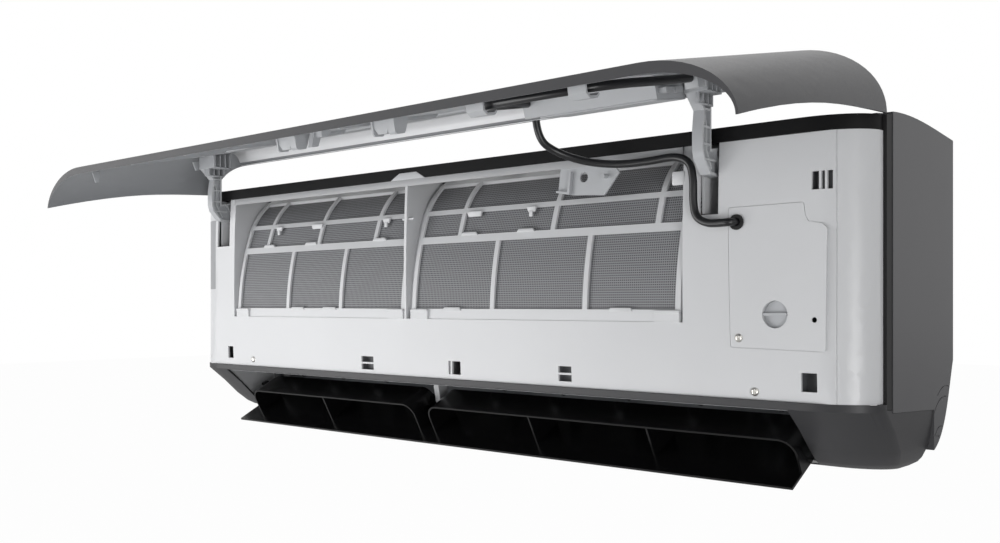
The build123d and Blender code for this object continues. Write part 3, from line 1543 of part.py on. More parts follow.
with BuildPart() as front_panel:
    for level, depth in ((panel_low, panel_depth_bottom), (panel_top, panel_depth_top)):
        with BuildSketch(Plane.XY.offset(level)):
            add(plan_shape(face_y(level), body_half_width, -160, panel_corner_run, depth))
    loft(ruled=True)
    with BuildSketch(Plane.YZ.offset(-body_half_width)):
        with BuildLine():
            Polyline(
                (-240, panel_lip_z + lip_slope * (-240 - panel_bottom_front)),
                (-140, panel_lip_z + lip_slope * (-140 - panel_bottom_front)),
                (-140, -130),
                (-240, -130),
                close=True,
            )
        make_face()
    extrude(amount=2 * body_half_width, mode=Mode.SUBTRACT)
    add(panel_core.part, mode=Mode.SUBTRACT)
    # trim the lip and the top flange to their reach
    with BuildSketch(Plane.XY.offset(-125)):
        add(plan_shape(panel_bottom_front + lip_reach, body_half_width - panel_thickness, -140, panel_corner_run, 38.0))
    extrude(amount=40, mode=Mode.SUBTRACT)
    with BuildSketch(Plane.XY.offset(140)):
        add(plan_shape(panel_top_front + flange_reach, body_half_width - panel_thickness, -140, panel_corner_run, 36.0))
    extrude(amount=20, mode=Mode.SUBTRACT)
    # curved rear edge of the ends
    with BuildSketch(Plane.YZ.offset(-body_half_width - 1)):
        with BuildLine():
            Spline(*flap_edge)
            Polyline(flap_edge[-1], (-130, 152), (-130, -130), (-176.5, -130), flap_edge[0])
        make_face()
    extrude(amount=2 * body_half_width + 2, mode=Mode.SUBTRACT)
front_panel.part = swing(front_panel.part)
front_panel.part.label = "front_panel"
export_step(front_panel.part, "parts/front_panel.step")

liner_left = -416.0
liner_right = 352.0
liner_thickness = 2.0
liner_low = -88.0
liner_high = 140.0
hat_low = 66.0
hat_high = 130.0
hat_step = 2.0
with BuildPart() as panel_liner:
    with BuildSketch(Plane.YZ.offset(liner_left)):
        with BuildLine():
            Polyline(
                (inside_y(liner_low), liner_low),
                (inside_y(liner_high), liner_high),
                (inside_y(liner_high) + liner_thickness, liner_high),
                (inside_y(hat_high + 2) + liner_thickness, hat_high + 2),
                (inside_y(hat_high) + liner_thickness + hat_step, hat_high),
                (inside_y(hat_low) + liner_thickness + hat_step, hat_low),
                (inside_y(hat_low - 2) + liner_thickness, hat_low - 2),
                (inside_y(liner_low + 8) + liner_thickness, liner_low + 8),
                (inside_y(liner_low) + liner_thickness + 3, liner_low),
                close=True,
            )
        make_face()
    extrude(amount=liner_right - liner_left)
    # stiffening ribs across the liner
    for x in (-330.0, -210.0, -90.0, 60.0):
        with BuildSketch(Plane.YZ.offset(x)):
            with BuildLine():
                Polyline(
                    (inside_y(hat_low - 2) + 1, hat_low - 2),
                    (inside_y(liner_low + 8) + 1, liner_low + 8),
                    (inside_y(liner_low + 8) + liner_thickness + 4, liner_low + 14),
                    (inside_y(hat_low) + liner_thickness + 4, hat_low - 8),
                    close=True,
                )
            make_face()
        extrude(amount=2.0)
panel_liner.part = swing(panel_liner.part)
panel_liner.part.label = "panel_liner"
export_step(panel_liner.part, "parts/panel_liner.step")

clip_depth_limit = frame_front - 1.5
hook_level = -79.0
with BuildPart() as panel_clips:
    for left, width in ((-34.0, 31.0), (111.0, 31.0)):
        # two cheeks with a snap tongue between them
        for cheek in (left, left + width - 9):
            with BuildSketch(Plane.YZ.offset(cheek)):
                with BuildLine():
                    Polyline(
                        (inside_y(-70) + liner_thickness, -58),
                        (inside_y(-80) + liner_thickness, -78.5),
                        (clip_depth_limit - 2, -78),
                        (clip_depth_limit, -76),
                        (clip_depth_limit, -66),
                        (clip_depth_limit - 3, -64),
                        close=True,
                    )
                make_face()
            extrude(amount=9 if cheek != left else 2.0)
        with BuildSketch(Plane.XY.offset(-77)):
            with BuildLine():
                Polyline(
                    (left + 2, inside_y(-77) + liner_thickness),
                    (left + width - 9, inside_y(-77) + liner_thickness),
                    (left + width - 9, inside_y(-77) + liner_thickness + 9),
                    (left + width - 12, clip_depth_limit - 1.5),
                    (left + 7, clip_depth_limit - 1.5),
                    (left + 2, inside_y(-77) + liner_thickness + 9),
                    close=True,
                )
            make_face()
        extrude(amount=12)
    # hooks that hold the lead behind the lip
    for left, width in ((241.0, 19.0), (348.0, 17.0)):
        with BuildSketch(Plane.YZ.offset(left)):
            with BuildLine():
                Polyline(
                    (inside_y(hook_level) + liner_thickness + 3.28, hook_level - 8),
                    (inside_y(hook_level) + liner_thickness + 10, hook_level - 8),
                    (inside_y(hook_level) + liner_thickness + 13.5, hook_level - 4),
                    (inside_y(hook_level) + liner_thickness + 13.5, hook_level + 5),
                    (inside_y(hook_level) + liner_thickness + 11, hook_level + 8),
                )
            trace(line_width=2.0)
        extrude(amount=width)
    # plain hook between the two
    with BuildSketch(Plane.YZ.offset(18.0)):
        with BuildLine():
            Polyline(
                (inside_y(-60) + liner_thickness, -60),
                (inside_y(-74) + liner_thickness, -74),
                (clip_depth_limit, -80),
                (clip_depth_limit, -72),
                (-212, -66),
                close=True,
            )
        make_face()
    extrude(amount=6.0)
    with BuildSketch(Plane.YZ.offset(24.0)):
        with BuildLine():
            Polyline(
                (inside_y(-60) + liner_thickness, -60),
                (inside_y(-74) + liner_thickness, -74),
                (-210, -74),
                (-210, -66),
                close=True,
            )
        make_face()
    extrude(amount=10.0)
panel_clips.part = swing(panel_clips.part)
panel_clips.part.label = "panel_clips"
export_step(panel_clips.part, "parts/panel_clips.step")

module_left = 190.0
module_right = 340.0
module_low = 46.0
module_high = 108.0
module_back = frame_front - 2.0
module_wall = 2.0
module_lid = 1.5
lead_outlet_x = 196.0
lead_outlet_level = 57.5
with BuildPart() as module_housing:
    with BuildSketch(Plane.YZ.offset(module_left)):
        with BuildLine():
            Polyline(
                (inside_y(module_low) + liner_thickness, module_low),
                (inside_y(hat_low - 4) + liner_thickness, hat_low - 4),
                (inside_y(hat_low - 2) + liner_thickness + hat_step, hat_low - 2),
                (inside_y(module_high) + liner_thickness + hat_step, module_high),
                (module_back - module_lid, module_high - 6),
                (module_back - module_lid, module_low + 3),
                close=True,
            )
        make_face()
    extrude(amount=module_right - module_left)
    with Locations(
        (
            (module_left + module_right) / 2,
            module_back - module_lid - 6.5,
            (module_low + module_high) / 2,
        )
    ):
        Box(module_right - module_left - 2 * module_wall - 14, 13.1, module_high - module_low - 20, mode=Mode.SUBTRACT)
    # bosses outside the ends and the lead's outlet
    for z in (module_low + 12, module_low + 28):
        with Locations((module_right + 4, module_back - 8, z)):
            Box(8, 5, 12)
    with BuildSketch(Plane(origin=(lead_outlet_x, module_back - module_lid + 1, lead_outlet_level), x_dir=(1, 0, 0), z_dir=(0, 1, 0))):
        Circle(lead_radius + 0.1)
    extrude(amount=-9, mode=Mode.SUBTRACT)
module_housing.part = swing(module_housing.part)
module_housing.part.label = "module_housing"
export_step(module_housing.part, "parts/module_housing.step")

with BuildPart() as module_cover:
    with BuildSketch(Plane(origin=(0, module_back - module_lid, 0), x_dir=(1, 0, 0), z_dir=(0, 1, 0))):
        with Locations(((module_left + module_right) / 2 + 6, -(module_low + module_high) / 2)):
            RectangleRounded(module_right - module_left - 16, module_high - module_low - 12, 4)
    extrude(amount=module_lid)
module_cover.part = swing(module_cover.part)
module_cover.part.label = "module_cover"
export_step(module_cover.part, "parts/module_cover.step")

# gooseneck arms: a flanged web that reaches round the top rail to the pins
arm_flange = 2.4
arm_web = 4.0
arm_line = [
    (-232.9, 195.1),
    (-231.5, 179.0),
    (-217.0, 165.0),
    (-219.4, 147.0),
    (-219.4, 129.0),
    (-217.0, 121.0),
    (-205.0, 108.0),
    (-187.5, 107.0),
    (hinge_y + 5.2, hinge_z - 2.0),
    (hinge_y - 5.2, hinge_z - 1.5),
    (-190.0, 133.5),
    (-204.0, 131.0),
    (-204.0, 168.0),
    (-205.5, 201.0),
]
with BuildSketch() as arm_shape:
    with BuildLine():
        Polyline(*arm_line, close=True)
    make_face()
    with Locations((hinge_y, hinge_z)):
        Circle(eye_radius)
with BuildSketch() as arm_pocket:
    with BuildLine():
        Polyline(*arm_line, close=True)
    make_face()
    offset(amount=-arm_flange, kind=Kind.INTERSECTION)
    with Locations((hinge_y, hinge_z)):
        Circle(eye_radius + 0.5, mode=Mode.SUBTRACT)
    for level in (181.0, 166.0, 150.0, 134.5, 121.0):
        with Locations((-215, level)):
            Rectangle(40, 2.0, mode=Mode.SUBTRACT)
    with Locations(Location((-190, 122, 0), (0, 0, 30))):
        Rectangle(2.0, 34, mode=Mode.SUBTRACT)

arms = []
for name, left, foot_left, foot_width in (
    ("left", left_arm_left, left_arm_left, 17.0),
    ("right", right_arm_left, right_arm_left, 17.0),
):
    with BuildPart() as arm:
        with BuildSketch(Plane.YZ.offset(left)):
            add(arm_shape.sketch)
        extrude(amount=arm_width)
        with BuildSketch(Plane.YZ.offset(left)):
            add(arm_pocket.sketch)
        extrude(amount=(arm_width - arm_web) / 2, mode=Mode.SUBTRACT)
        with BuildSketch(Plane.YZ.offset(left + arm_width)):
            add(arm_pocket.sketch)
        extrude(amount=-(arm_width - arm_web) / 2, mode=Mode.SUBTRACT)
        # wider foot against the liner
        with BuildSketch(Plane.YZ.offset(foot_left)):
            with BuildLine():
                Polyline((-232.9, 195.1), (-232.2, 184.0), (-205.3, 188.5), (-205.5, 201.0), close=True)
            make_face()
        extrude(amount=foot_width)
        with BuildSketch(Plane.YZ.offset(left)):
            with Locations((hinge_y, hinge_z)):
                Circle(pin_radius + pin_clearance)
        extrude(amount=arm_width, mode=Mode.SUBTRACT)
    arm.part.label = name + "_arm"
    export_step(arm.part, "parts/" + name + "_arm.step")
    arms.append(arm)

# lead: one stretch clipped inside the panel, one hanging to the terminal cover
def corner_radii(points):
    """Radius that each corner of a route takes: as wide as its two runs allow."""
    radii = []
    for before, here, after in zip(points[:-2], points[1:-1], points[2:]):
        run_in = Vector(*here) - Vector(*before)
        run_out = Vector(*after) - Vector(*here)
        half_turn = radians(run_in.get_angle(run_out)) / 2
        radii.append(0.45 * min(run_in.length, run_out.length) / tan(half_turn))
    return radii


def liner_spot(x, z, drop=6.0):
    """Centre of the lead where it runs along the liner of the shut panel."""
    return (x, inside_y(z) + liner_thickness + drop, z)


panel_lead_points = [
    liner_spot(381, 40, 7.5),
    liner_spot(380, 14, 7.5),
    liner_spot(377, -16, 7.0),
    liner_spot(370, -48),
    liner_spot(354, -72),
    liner_spot(326, -82),
    liner_spot(294, -84),
    liner_spot(263, -80.5),
    liner_spot(240, -64),
    liner_spot(225, -38),
    liner_spot(212, -6),
    liner_spot(203, 22),
    liner_spot(197, module_low),
]
panel_lead_radii = corner_radii(panel_lead_points)
with BuildPart() as panel_lead:
    with BuildLine() as panel_lead_route:
        FilletPolyline(*panel_lead_points, radius=panel_lead_radii)
    with BuildSketch(Plane(origin=panel_lead_route.wire() @ 0, z_dir=panel_lead_route.wire() % 0)):
        Circle(lead_radius)
    sweep()
print("panel lead radii", [round(r, 1) for r in panel_lead_radii])
print("panel lead", panel_lead.part.volume / (pi * lead_radius**2), panel_lead_route.wire().length)
panel_lead.part = swing(panel_lead.part)
panel_lead.part.label = "panel_lead"
export_step(panel_lead.part, "parts/panel_lead.step")

hanging_points = [
    (196.0, -262.6, 167.9),
    (196.2, -259.4, 150.0),
    (203.0, -242.0, 139.0),
    (223.0, -224.0, 129.5),
    (255.0, -212.5, 124.5),
    (291.0, -207.5, 125.5),
    (317.0, -206.0, 128.0),
    (333.0, -206.0, 121.5),
    (336.5, -206.0, 104.0),
    (336.0, -206.0, 85.0),
    (338.5, -206.0, 70.0),
    (350.0, -206.0, 63.5),
    (363.5, -206.6, 63.2),
    (377.0, -207.6, 63.7),
    (377.0, -193.5, 63.7),
]
hanging_radii = corner_radii(hanging_points)
with BuildPart() as hanging_lead:
    with BuildLine() as hanging_route:
        FilletPolyline(*hanging_points, radius=hanging_radii)
    with BuildSketch(Plane(origin=hanging_route.wire() @ 0, z_dir=hanging_route.wire() % 0)):
        Circle(lead_radius)
    sweep()
print("hanging lead radii", [round(r, 1) for r in hanging_radii])
print("hanging lead", hanging_lead.part.volume / (pi * lead_radius**2), hanging_route.wire().length)
hanging_lead.part.label = "hanging_lead"
export_step(hanging_lead.part, "parts/hanging_lead.step")
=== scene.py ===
import json
import math

import bmesh
import bpy
from mathutils import Matrix, Vector

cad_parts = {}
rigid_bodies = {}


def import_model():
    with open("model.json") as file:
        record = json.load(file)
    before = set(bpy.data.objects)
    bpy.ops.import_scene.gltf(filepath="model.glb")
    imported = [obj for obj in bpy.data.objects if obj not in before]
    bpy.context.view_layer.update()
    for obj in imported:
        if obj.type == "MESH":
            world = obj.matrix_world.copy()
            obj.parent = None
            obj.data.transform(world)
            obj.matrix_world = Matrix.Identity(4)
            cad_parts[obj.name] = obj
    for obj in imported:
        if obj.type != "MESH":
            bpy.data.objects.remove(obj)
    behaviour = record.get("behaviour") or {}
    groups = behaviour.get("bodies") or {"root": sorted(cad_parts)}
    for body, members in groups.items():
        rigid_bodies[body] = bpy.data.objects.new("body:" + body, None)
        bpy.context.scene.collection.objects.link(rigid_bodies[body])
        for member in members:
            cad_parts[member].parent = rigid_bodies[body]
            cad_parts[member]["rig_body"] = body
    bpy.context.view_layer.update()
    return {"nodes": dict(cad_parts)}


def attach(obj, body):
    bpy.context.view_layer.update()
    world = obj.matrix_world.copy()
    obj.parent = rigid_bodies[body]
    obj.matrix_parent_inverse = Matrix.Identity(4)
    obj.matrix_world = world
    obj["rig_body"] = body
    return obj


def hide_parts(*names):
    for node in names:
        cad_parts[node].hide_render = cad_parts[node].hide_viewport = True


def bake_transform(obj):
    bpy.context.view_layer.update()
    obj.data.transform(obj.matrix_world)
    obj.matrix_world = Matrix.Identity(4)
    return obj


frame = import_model()
scene = bpy.context.scene

# Camera: it stands to the right of the unit and looks level to the left, with the
# picture's frame raised a little. Place, turn and lens come from the unit's outlines.
bpy.ops.object.camera_add(
    location=(0.831, -1.029, -0.010), rotation=(math.pi / 2, 0, math.radians(41.65))
)
camera = bpy.context.object
camera.data.sensor_width = 36
camera.data.lens = 37.04
camera.data.shift_y = 0.0329
scene.camera = camera


# Lead between the raised panel and the frame: a black round sheath over a few
# thin wires, fixed by its plug in the panel's module and by a grommet in the frame.
def linear(hex_colour):
    """An sRGB hex colour as the linear colour that shaders take."""
    channels = [int(hex_colour[i : i + 2], 16) / 255 for i in (1, 3, 5)]
    return tuple(c / 12.92 if c <= 0.04045 else ((c + 0.055) / 1.055) ** 2.4 for c in channels) + (1.0,)


def add_node(tree, kind, settings=None, links=None):
    """Add a shader node, set its properties or sockets, and link its inputs."""
    node = tree.nodes.new(kind)
    for name, value in (settings or {}).items():
        if isinstance(name, str) and hasattr(node, name):
            setattr(node, name, value)
        else:
            node.inputs[name].default_value = value
    for name, source in (links or {}).items():
        tree.links.new(source, node.inputs[name])
    return node


def new_finish(name):
    """An empty material with its output node, and the piece's own coordinates."""
    material = bpy.data.materials.new(name)
    material.use_nodes = True
    tree = material.node_tree
    tree.nodes.clear()
    output = add_node(tree, "ShaderNodeOutputMaterial")
    place = add_node(tree, "ShaderNodeTexCoord").outputs["Object"]
    return material, tree, output, place


def moulding(name, light, dark, roughness, grain_mm, relief, specular=0.5):
    """Injection-moulded plastic: faint flow mottling and the fine grain of its tool."""
    material, tree, output, place = new_finish(name)
    flow_mm = 90  # the melt leaves patches about a hand wide
    flow = add_node(
        tree, "ShaderNodeTexNoise", {"Scale": 1000 / flow_mm, "Detail": 3.0}, {"Vector": place}
    )
    grain = add_node(
        tree, "ShaderNodeTexNoise", {"Scale": 1000 / grain_mm, "Detail": 2.0}, {"Vector": place}
    )
    tint = add_node(
        tree,
        "ShaderNodeMix",
        {"data_type": "RGBA", 6: linear(dark), 7: linear(light)},
        {"Factor": flow.outputs["Fac"]},
    )
    sheen = add_node(
        tree,
        "ShaderNodeMapRange",
        {"To Min": roughness - 0.04, "To Max": roughness + 0.06},
        {"Value": grain.outputs["Fac"]},
    )
    bump = add_node(
        tree,
        "ShaderNodeBump",
        {"Strength": relief, "Distance": 0.0002},
        {"Height": grain.outputs["Fac"]},
    )
    shader = add_node(
        tree,
        "ShaderNodeBsdfPrincipled",
        {"Specular IOR Level": specular, "IOR": 1.5},
        {
            "Base Color": tint.outputs[2],
            "Roughness": sheen.outputs["Result"],
            "Normal": bump.outputs["Normal"],
        },
    )
    tree.links.new(shader.outputs["BSDF"], output.inputs["Surface"])
    return material


def coat(material, *names):
    """Give CAD nodes or pieces a finish."""
    for name in names:
        piece = frame["nodes"].get(name) or bpy.data.objects[name]
        piece.data.materials.clear()
        piece.data.materials.append(material)


# PVC sheath, extruded: near black with a soft shine along its top. It hangs from the
# panel, bends over the filter and the arm's slot, and turns into the terminal cover.
lead_sheath = moulding("extruded_pvc_sheath", "#17171a", "#101012", 0.30, 1.2, 0.05)
lead_diameter = 0.0075
hanging_points = [
    (0.1960, -0.2626, 0.1679),
    (0.1962, -0.2594, 0.1500),
    (0.2030, -0.2420, 0.1390),
    (0.2230, -0.2240, 0.1295),
    (0.2550, -0.2125, 0.1245),
    (0.2910, -0.2075, 0.1255),
    (0.3170, -0.2060, 0.1280),
    (0.3330, -0.2060, 0.1215),
    (0.3365, -0.2060, 0.1040),
    (0.3360, -0.2060, 0.0850),
    (0.3385, -0.2060, 0.0700),
    (0.3500, -0.2060, 0.0635),
    (0.3635, -0.2066, 0.0632),
    (0.3770, -0.2076, 0.0637),
    (0.3770, -0.1935, 0.0637),
]
route = bpy.data.curves.new("hanging_cable", "CURVE")
route.dimensions = "3D"
spline = route.splines.new("NURBS")
spline.points.add(len(hanging_points) - 1)
for point, place in zip(spline.points, hanging_points):
    point.co = (*place, 1.0)
spline.order_u = 3
spline.use_endpoint_u = True
spline.resolution_u = 10
drawn_route = bpy.data.objects.new("hanging_route", route)
centre_line = bpy.data.meshes.new_from_object(drawn_route)
route.bevel_depth = lead_diameter / 2
route.bevel_resolution = 5
route.use_fill_caps = True
cable_mesh = bpy.data.meshes.new_from_object(drawn_route)
hanging_cable = bpy.data.objects.new("hanging_cable", cable_mesh)
scene.collection.objects.link(hanging_cable)
bpy.data.objects.remove(drawn_route)
bpy.data.meshes.remove(centre_line)
cable_mesh.materials.clear()
cable_mesh.materials.append(lead_sheath)
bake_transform(hanging_cable)
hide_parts("hanging_lead")
coat(lead_sheath, "panel_lead")

# Mounting plate: pressed sheet steel, zinc plated, screwed to the wall. The same
# plated finish is on the hinge pins and on the plates at the coil's ends.
zinc_plate, tree, output, place = new_finish("zinc_plated_sheet_steel")
spangle_mm, rolling_mm = 7, 2.5  # crystals of the zinc, marks of the mill's rolls
spangle = add_node(tree, "ShaderNodeTexVoronoi", {"Scale": 1000 / spangle_mm}, {"Vector": place})
rolled = add_node(
    tree, "ShaderNodeTexNoise", {"Scale": 1000 / rolling_mm, "Detail": 4.0}, {"Vector": place}
)
zinc_tint = add_node(
    tree,
    "ShaderNodeMix",
    {"data_type": "RGBA", 6: linear("#b9bcbf"), 7: linear("#d2d4d6")},
    {"Factor": spangle.outputs["Distance"]},
)
zinc_rough = add_node(
    tree, "ShaderNodeMapRange", {"To Min": 0.28, "To Max": 0.46}, {"Value": rolled.outputs["Fac"]}
)
zinc_bump = add_node(
    tree, "ShaderNodeBump", {"Strength": 0.08, "Distance": 0.0002}, {"Height": rolled.outputs["Fac"]}
)
zinc = add_node(
    tree,
    "ShaderNodeBsdfPrincipled",
    {"Metallic": 1.0},
    {
        "Base Color": zinc_tint.outputs[2],
        "Roughness": zinc_rough.outputs["Result"],
        "Normal": zinc_bump.outputs["Normal"],
    },
)
tree.links.new(zinc.outputs["BSDF"], output.inputs["Surface"])
coat(zinc_plate, "mounting_plate", "coil_end_plates", "hinge_pins")

# Rear chassis, drain pan and motor bracket: structural mouldings of high-impact
# polystyrene, mid grey and matt, which nobody sees once the unit hangs.
chassis_grey = moulding("moulded_polystyrene_grey", "#6f7174", "#66686b", 0.55, 1.6, 0.12)
coat(chassis_grey, "rear_chassis", "drain_pan", "motor_bracket", "left_link_bar", "right_link_bar")

# Coil: thin aluminium fins pressed onto copper tubes. The fins stand 1.4 mm
# apart; they are drawn 2.1 mm apart so that they still show in a render.
fin_stock, tree, output, place = new_finish("aluminium_fin_stock")
fin_pitch = 0.0021
gap_share = 0.62
across = add_node(tree, "ShaderNodeSeparateXYZ", {}, {"Vector": place})
pitch = add_node(
    tree, "ShaderNodeMath", {"operation": "DIVIDE", 1: fin_pitch}, {0: across.outputs["X"]}
)
step = add_node(tree, "ShaderNodeMath", {"operation": "FRACT"}, {0: pitch.outputs[0]})
fin_edge = add_node(
    tree, "ShaderNodeMath", {"operation": "GREATER_THAN", 1: gap_share}, {0: step.outputs[0]}
)
# Between the fins' edges the colour is a dark grey, painted shade for the deep narrow gaps between
# them.
fin_tint = add_node(
    tree,
    "ShaderNodeMix",
    {"data_type": "RGBA", 6: linear("#3a3c3e"), 7: linear("#c9ccce")},
    {"Factor": fin_edge.outputs[0]},
)
fin_bump = add_node(
    tree, "ShaderNodeBump", {"Strength": 0.6, "Distance": 0.0006}, {"Height": fin_edge.outputs[0]}
)
fins = add_node(
    tree,
    "ShaderNodeBsdfPrincipled",
    {"Metallic": 0.85, "Roughness": 0.42},
    {"Base Color": fin_tint.outputs[2], "Normal": fin_bump.outputs["Normal"]},
)
tree.links.new(fins.outputs["BSDF"], output.inputs["Surface"])
coat(fin_stock, "coil_front", "coil_rear")

# Coil tubes and connecting pipes: drawn copper with the faint lengthwise
# marks of the die and a slightly browned skin.
drawn_copper, tree, output, place = new_finish("drawn_copper_tube")
browning_mm = 30
die_marks = (20, 900, 900)  # marks 50 mm long and about 1 mm wide
stretched = add_node(tree, "ShaderNodeMapping", {"Scale": die_marks}, {"Vector": place})
drawn = add_node(
    tree, "ShaderNodeTexNoise", {"Scale": 1.0, "Detail": 3.0}, {"Vector": stretched.outputs["Vector"]}
)
browned = add_node(
    tree, "ShaderNodeTexNoise", {"Scale": 1000 / browning_mm, "Detail": 3.0}, {"Vector": place}
)
copper_tint = add_node(
    tree,
    "ShaderNodeMix",
    {"data_type": "RGBA", 6: linear("#b5683f"), 7: linear("#d58e66")},
    {"Factor": browned.outputs["Fac"]},
)
copper_rough = add_node(
    tree, "ShaderNodeMapRange", {"To Min": 0.22, "To Max": 0.42}, {"Value": drawn.outputs["Fac"]}
)
copper = add_node(
    tree,
    "ShaderNodeBsdfPrincipled",
    {"Metallic": 1.0},
    {"Base Color": copper_tint.outputs[2], "Roughness": copper_rough.outputs["Result"]},
)
tree.links.new(copper.outputs["BSDF"], output.inputs["Surface"])
coat(drawn_copper, "coil_tubes", "gas_pipe", "liquid_pipe")

# Flare nuts: hexagon nuts turned from brass bar, whose tool leaves fine rings
# across the bar's axis. They close the ends of the two pipes.
turned_brass, tree, output, place = new_finish("turned_brass")
rings = add_node(
    tree,
    "ShaderNodeTexWave",
    {"wave_type": "BANDS", "bands_direction": "X", "Scale": 400.0, "Distortion": 0.4},
    {"Vector": place},
)
brass_rough = add_node(
    tree, "ShaderNodeMapRange", {"To Min": 0.20, "To Max": 0.34}, {"Value": rings.outputs["Fac"]}
)
brass = add_node(
    tree,
    "ShaderNodeBsdfPrincipled",
    {"Metallic": 1.0, "Base Color": linear("#d4b26a")},
    {"Roughness": brass_rough.outputs["Result"]},
)
tree.links.new(brass.outputs["BSDF"], output.inputs["Surface"])
coat(turned_brass, "flare_nuts")

# Fan rotor: glass-filled nylon blades welded between rings, near black, with
# the dull skin and faint fibre streaks of that plastic.
fan_nylon = moulding("glass_filled_nylon_black", "#1d1e20", "#141516", 0.5, 2.2, 0.18)
coat(fan_nylon, "fan_rotor")

# Fan bush, grommet and the seals at the frame's ends: soft black rubber,
# dull, with a fine skin from its mould.
soft_rubber = moulding("moulded_epdm_rubber", "#1a1a1b", "#131314", 0.62, 1.4, 0.15, 0.35)
coat(soft_rubber, "fan_bush", "lead_grommet", "side_seals")

# Fan motor: a die-cast can under grey baked enamel, which flows to a smooth skin
# with a slight ripple. It sits at the right end of the fan.
motor_enamel = moulding("baked_enamel_grey", "#55585c", "#4c4f53", 0.35, 3.0, 0.1)
coat(motor_enamel, "fan_motor")

# Air outlet: a light grey moulding with the louver's bearings, and black
# vanes that a bar turns together.
outlet_grey = moulding("moulded_abs_light_grey", "#b3b4b6", "#a9aaac", 0.42, 1.5, 0.08)
vane_black = moulding("moulded_polypropylene_black", "#1f1f21", "#17171a", 0.45, 1.5, 0.08)
coat(outlet_grey, "outlet_frame")
coat(vane_black, "drain_spigot", "terminal_block", *["vane_%d" % (i + 1) for i in range(9)])

# Louver: a long flap with five hoods, moulded in black ABS that comes out of
# a polished tool, so its outside mirrors the room softly.
louver_gloss = moulding("polished_abs_black", "#0f0f10", "#0b0b0c", 0.22, 2.5, 0.02, 0.35)
coat(louver_gloss, "louver_flap", "louver_hoods")

# Control board: a circuit board under green solder resist, which is printed on and
# cured to an even semi-gloss. It stands in the white control box.
board_resin = moulding("solder_resist_green", "#1f5a32", "#18492a", 0.35, 1.2, 0.1)
coat(board_resin, "control_board")

# Front frame, terminal cover and small white housings: white ABS from an eroded
# tool, which leaves a very fine satin grain.
frame_white = moulding("moulded_abs_white", "#cfd0d2", "#cacbcd", 0.3, 1.1, 0.05)
coat(frame_white, "front_frame", "terminal_cover", "control_box", "louver_motor")

# Screws: pan heads with a cross recess, nickel plated and bright, with the fine
# scatter of scratches that they get in the barrel they are plated in.
bright_nickel, tree, output, place = new_finish("nickel_plated_steel")
scratch_mm = 1.5
wear = add_node(
    tree, "ShaderNodeTexNoise", {"Scale": 1000 / scratch_mm, "Detail": 3.0}, {"Vector": place}
)
nickel_rough = add_node(
    tree, "ShaderNodeMapRange", {"To Min": 0.14, "To Max": 0.26}, {"Value": wear.outputs["Fac"]}
)
nickel = add_node(
    tree,
    "ShaderNodeBsdfPrincipled",
    {"Metallic": 1.0, "Base Color": linear("#d3d1cc")},
    {"Roughness": nickel_rough.outputs["Result"]},
)
tree.links.new(nickel.outputs["BSDF"], output.inputs["Surface"])
coat(bright_nickel, "front_screws")

# Filters: a stiff white polypropylene frame, curved back at its top, moulded
# round a fine grey net.
filter_white = moulding("moulded_polypropylene_white", "#d2d3d5", "#cccdcf", 0.38, 1.4, 0.04)
coat(filter_white, "filter_frame_left", "filter_frame_right")

# The net is woven of 0.3 mm threads, 1.2 mm apart; it is drawn 2.4 mm apart,
# because the real weave is finer than a dot of the picture.
filter_net, tree, output, place = new_finish("woven_polypropylene_net")
thread_spacing = 0.0024
directions = add_node(tree, "ShaderNodeSeparateXYZ", {}, {"Vector": place})
threads = []
for axis in ("X", "Z"):
    turns = add_node(
        tree,
        "ShaderNodeMath",
        {"operation": "MULTIPLY", 1: 2 * math.pi / thread_spacing},
        {0: directions.outputs[axis]},
    )
    threads.append(add_node(tree, "ShaderNodeMath", {"operation": "SINE"}, {0: turns.outputs[0]}))
weave = add_node(
    tree,
    "ShaderNodeMath",
    {"operation": "MAXIMUM"},
    {0: threads[0].outputs[0], 1: threads[1].outputs[0]},
)
cover = add_node(
    tree, "ShaderNodeMapRange", {"From Min": -0.4, "From Max": 0.9}, {"Value": weave.outputs[0]}
)
# The dark grey between the threads is painted shade, for the dim inside of the unit seen through the
# open weave.
net_tint = add_node(
    tree,
    "ShaderNodeMix",
    {"data_type": "RGBA", 6: linear("#2c2d2f"), 7: linear("#8e8f92")},
    {"Factor": cover.outputs["Result"]},
)
net_bump = add_node(
    tree, "ShaderNodeBump", {"Strength": 0.5, "Distance": 0.0003}, {"Height": cover.outputs["Result"]}
)
net = add_node(
    tree,
    "ShaderNodeBsdfPrincipled",
    {"Roughness": 0.55},
    {"Base Color": net_tint.outputs[2], "Normal": net_bump.outputs["Normal"]},
)
tree.links.new(net.outputs["BSDF"], output.inputs["Surface"])
coat(filter_net, "filter_mesh_left", "filter_mesh_right")

# Top rail: a black cross piece that carries the panel's hinge, moulded with a
# satin skin.
rail_satin = moulding("satin_abs_black", "#121213", "#0e0e0f", 0.5, 1.4, 0.06, 0.15)
coat(rail_satin, "top_rail")

# Outer shell: end panels, lower housing and top grille in dark grey ABS, with the
# fine pitted grain of a spark-eroded tool. The lower housing is given a darker grey, painted shade for
# its face that turns down under the frame.
shell_grey = moulding("spark_grained_abs_grey", "#535355", "#4e4e50", 0.44, 1.0, 0.1, 0.3)
coat(shell_grey, "top_grille", "left_side_panel", "right_side_panel")
housing_shade_grey = moulding("spark_grained_abs_painted_shade_grey", "#39393b", "#343436", 0.40, 1.0, 0.1, 0.3)
coat(housing_shade_grey, "lower_housing")

# Lead bracket, panel liner, hooks, arms, latch and the module's housing: light grey
# ABS mouldings, unpainted.
liner_grey = moulding("moulded_abs_mid_grey", "#b4b6b9", "#aaacaf", 0.42, 1.5, 0.08)
coat(liner_grey, "lead_bracket", "cover_latch", "panel_liner", "panel_clips", "left_arm", "right_arm")
coat(liner_grey, "module_housing", "module_cover")

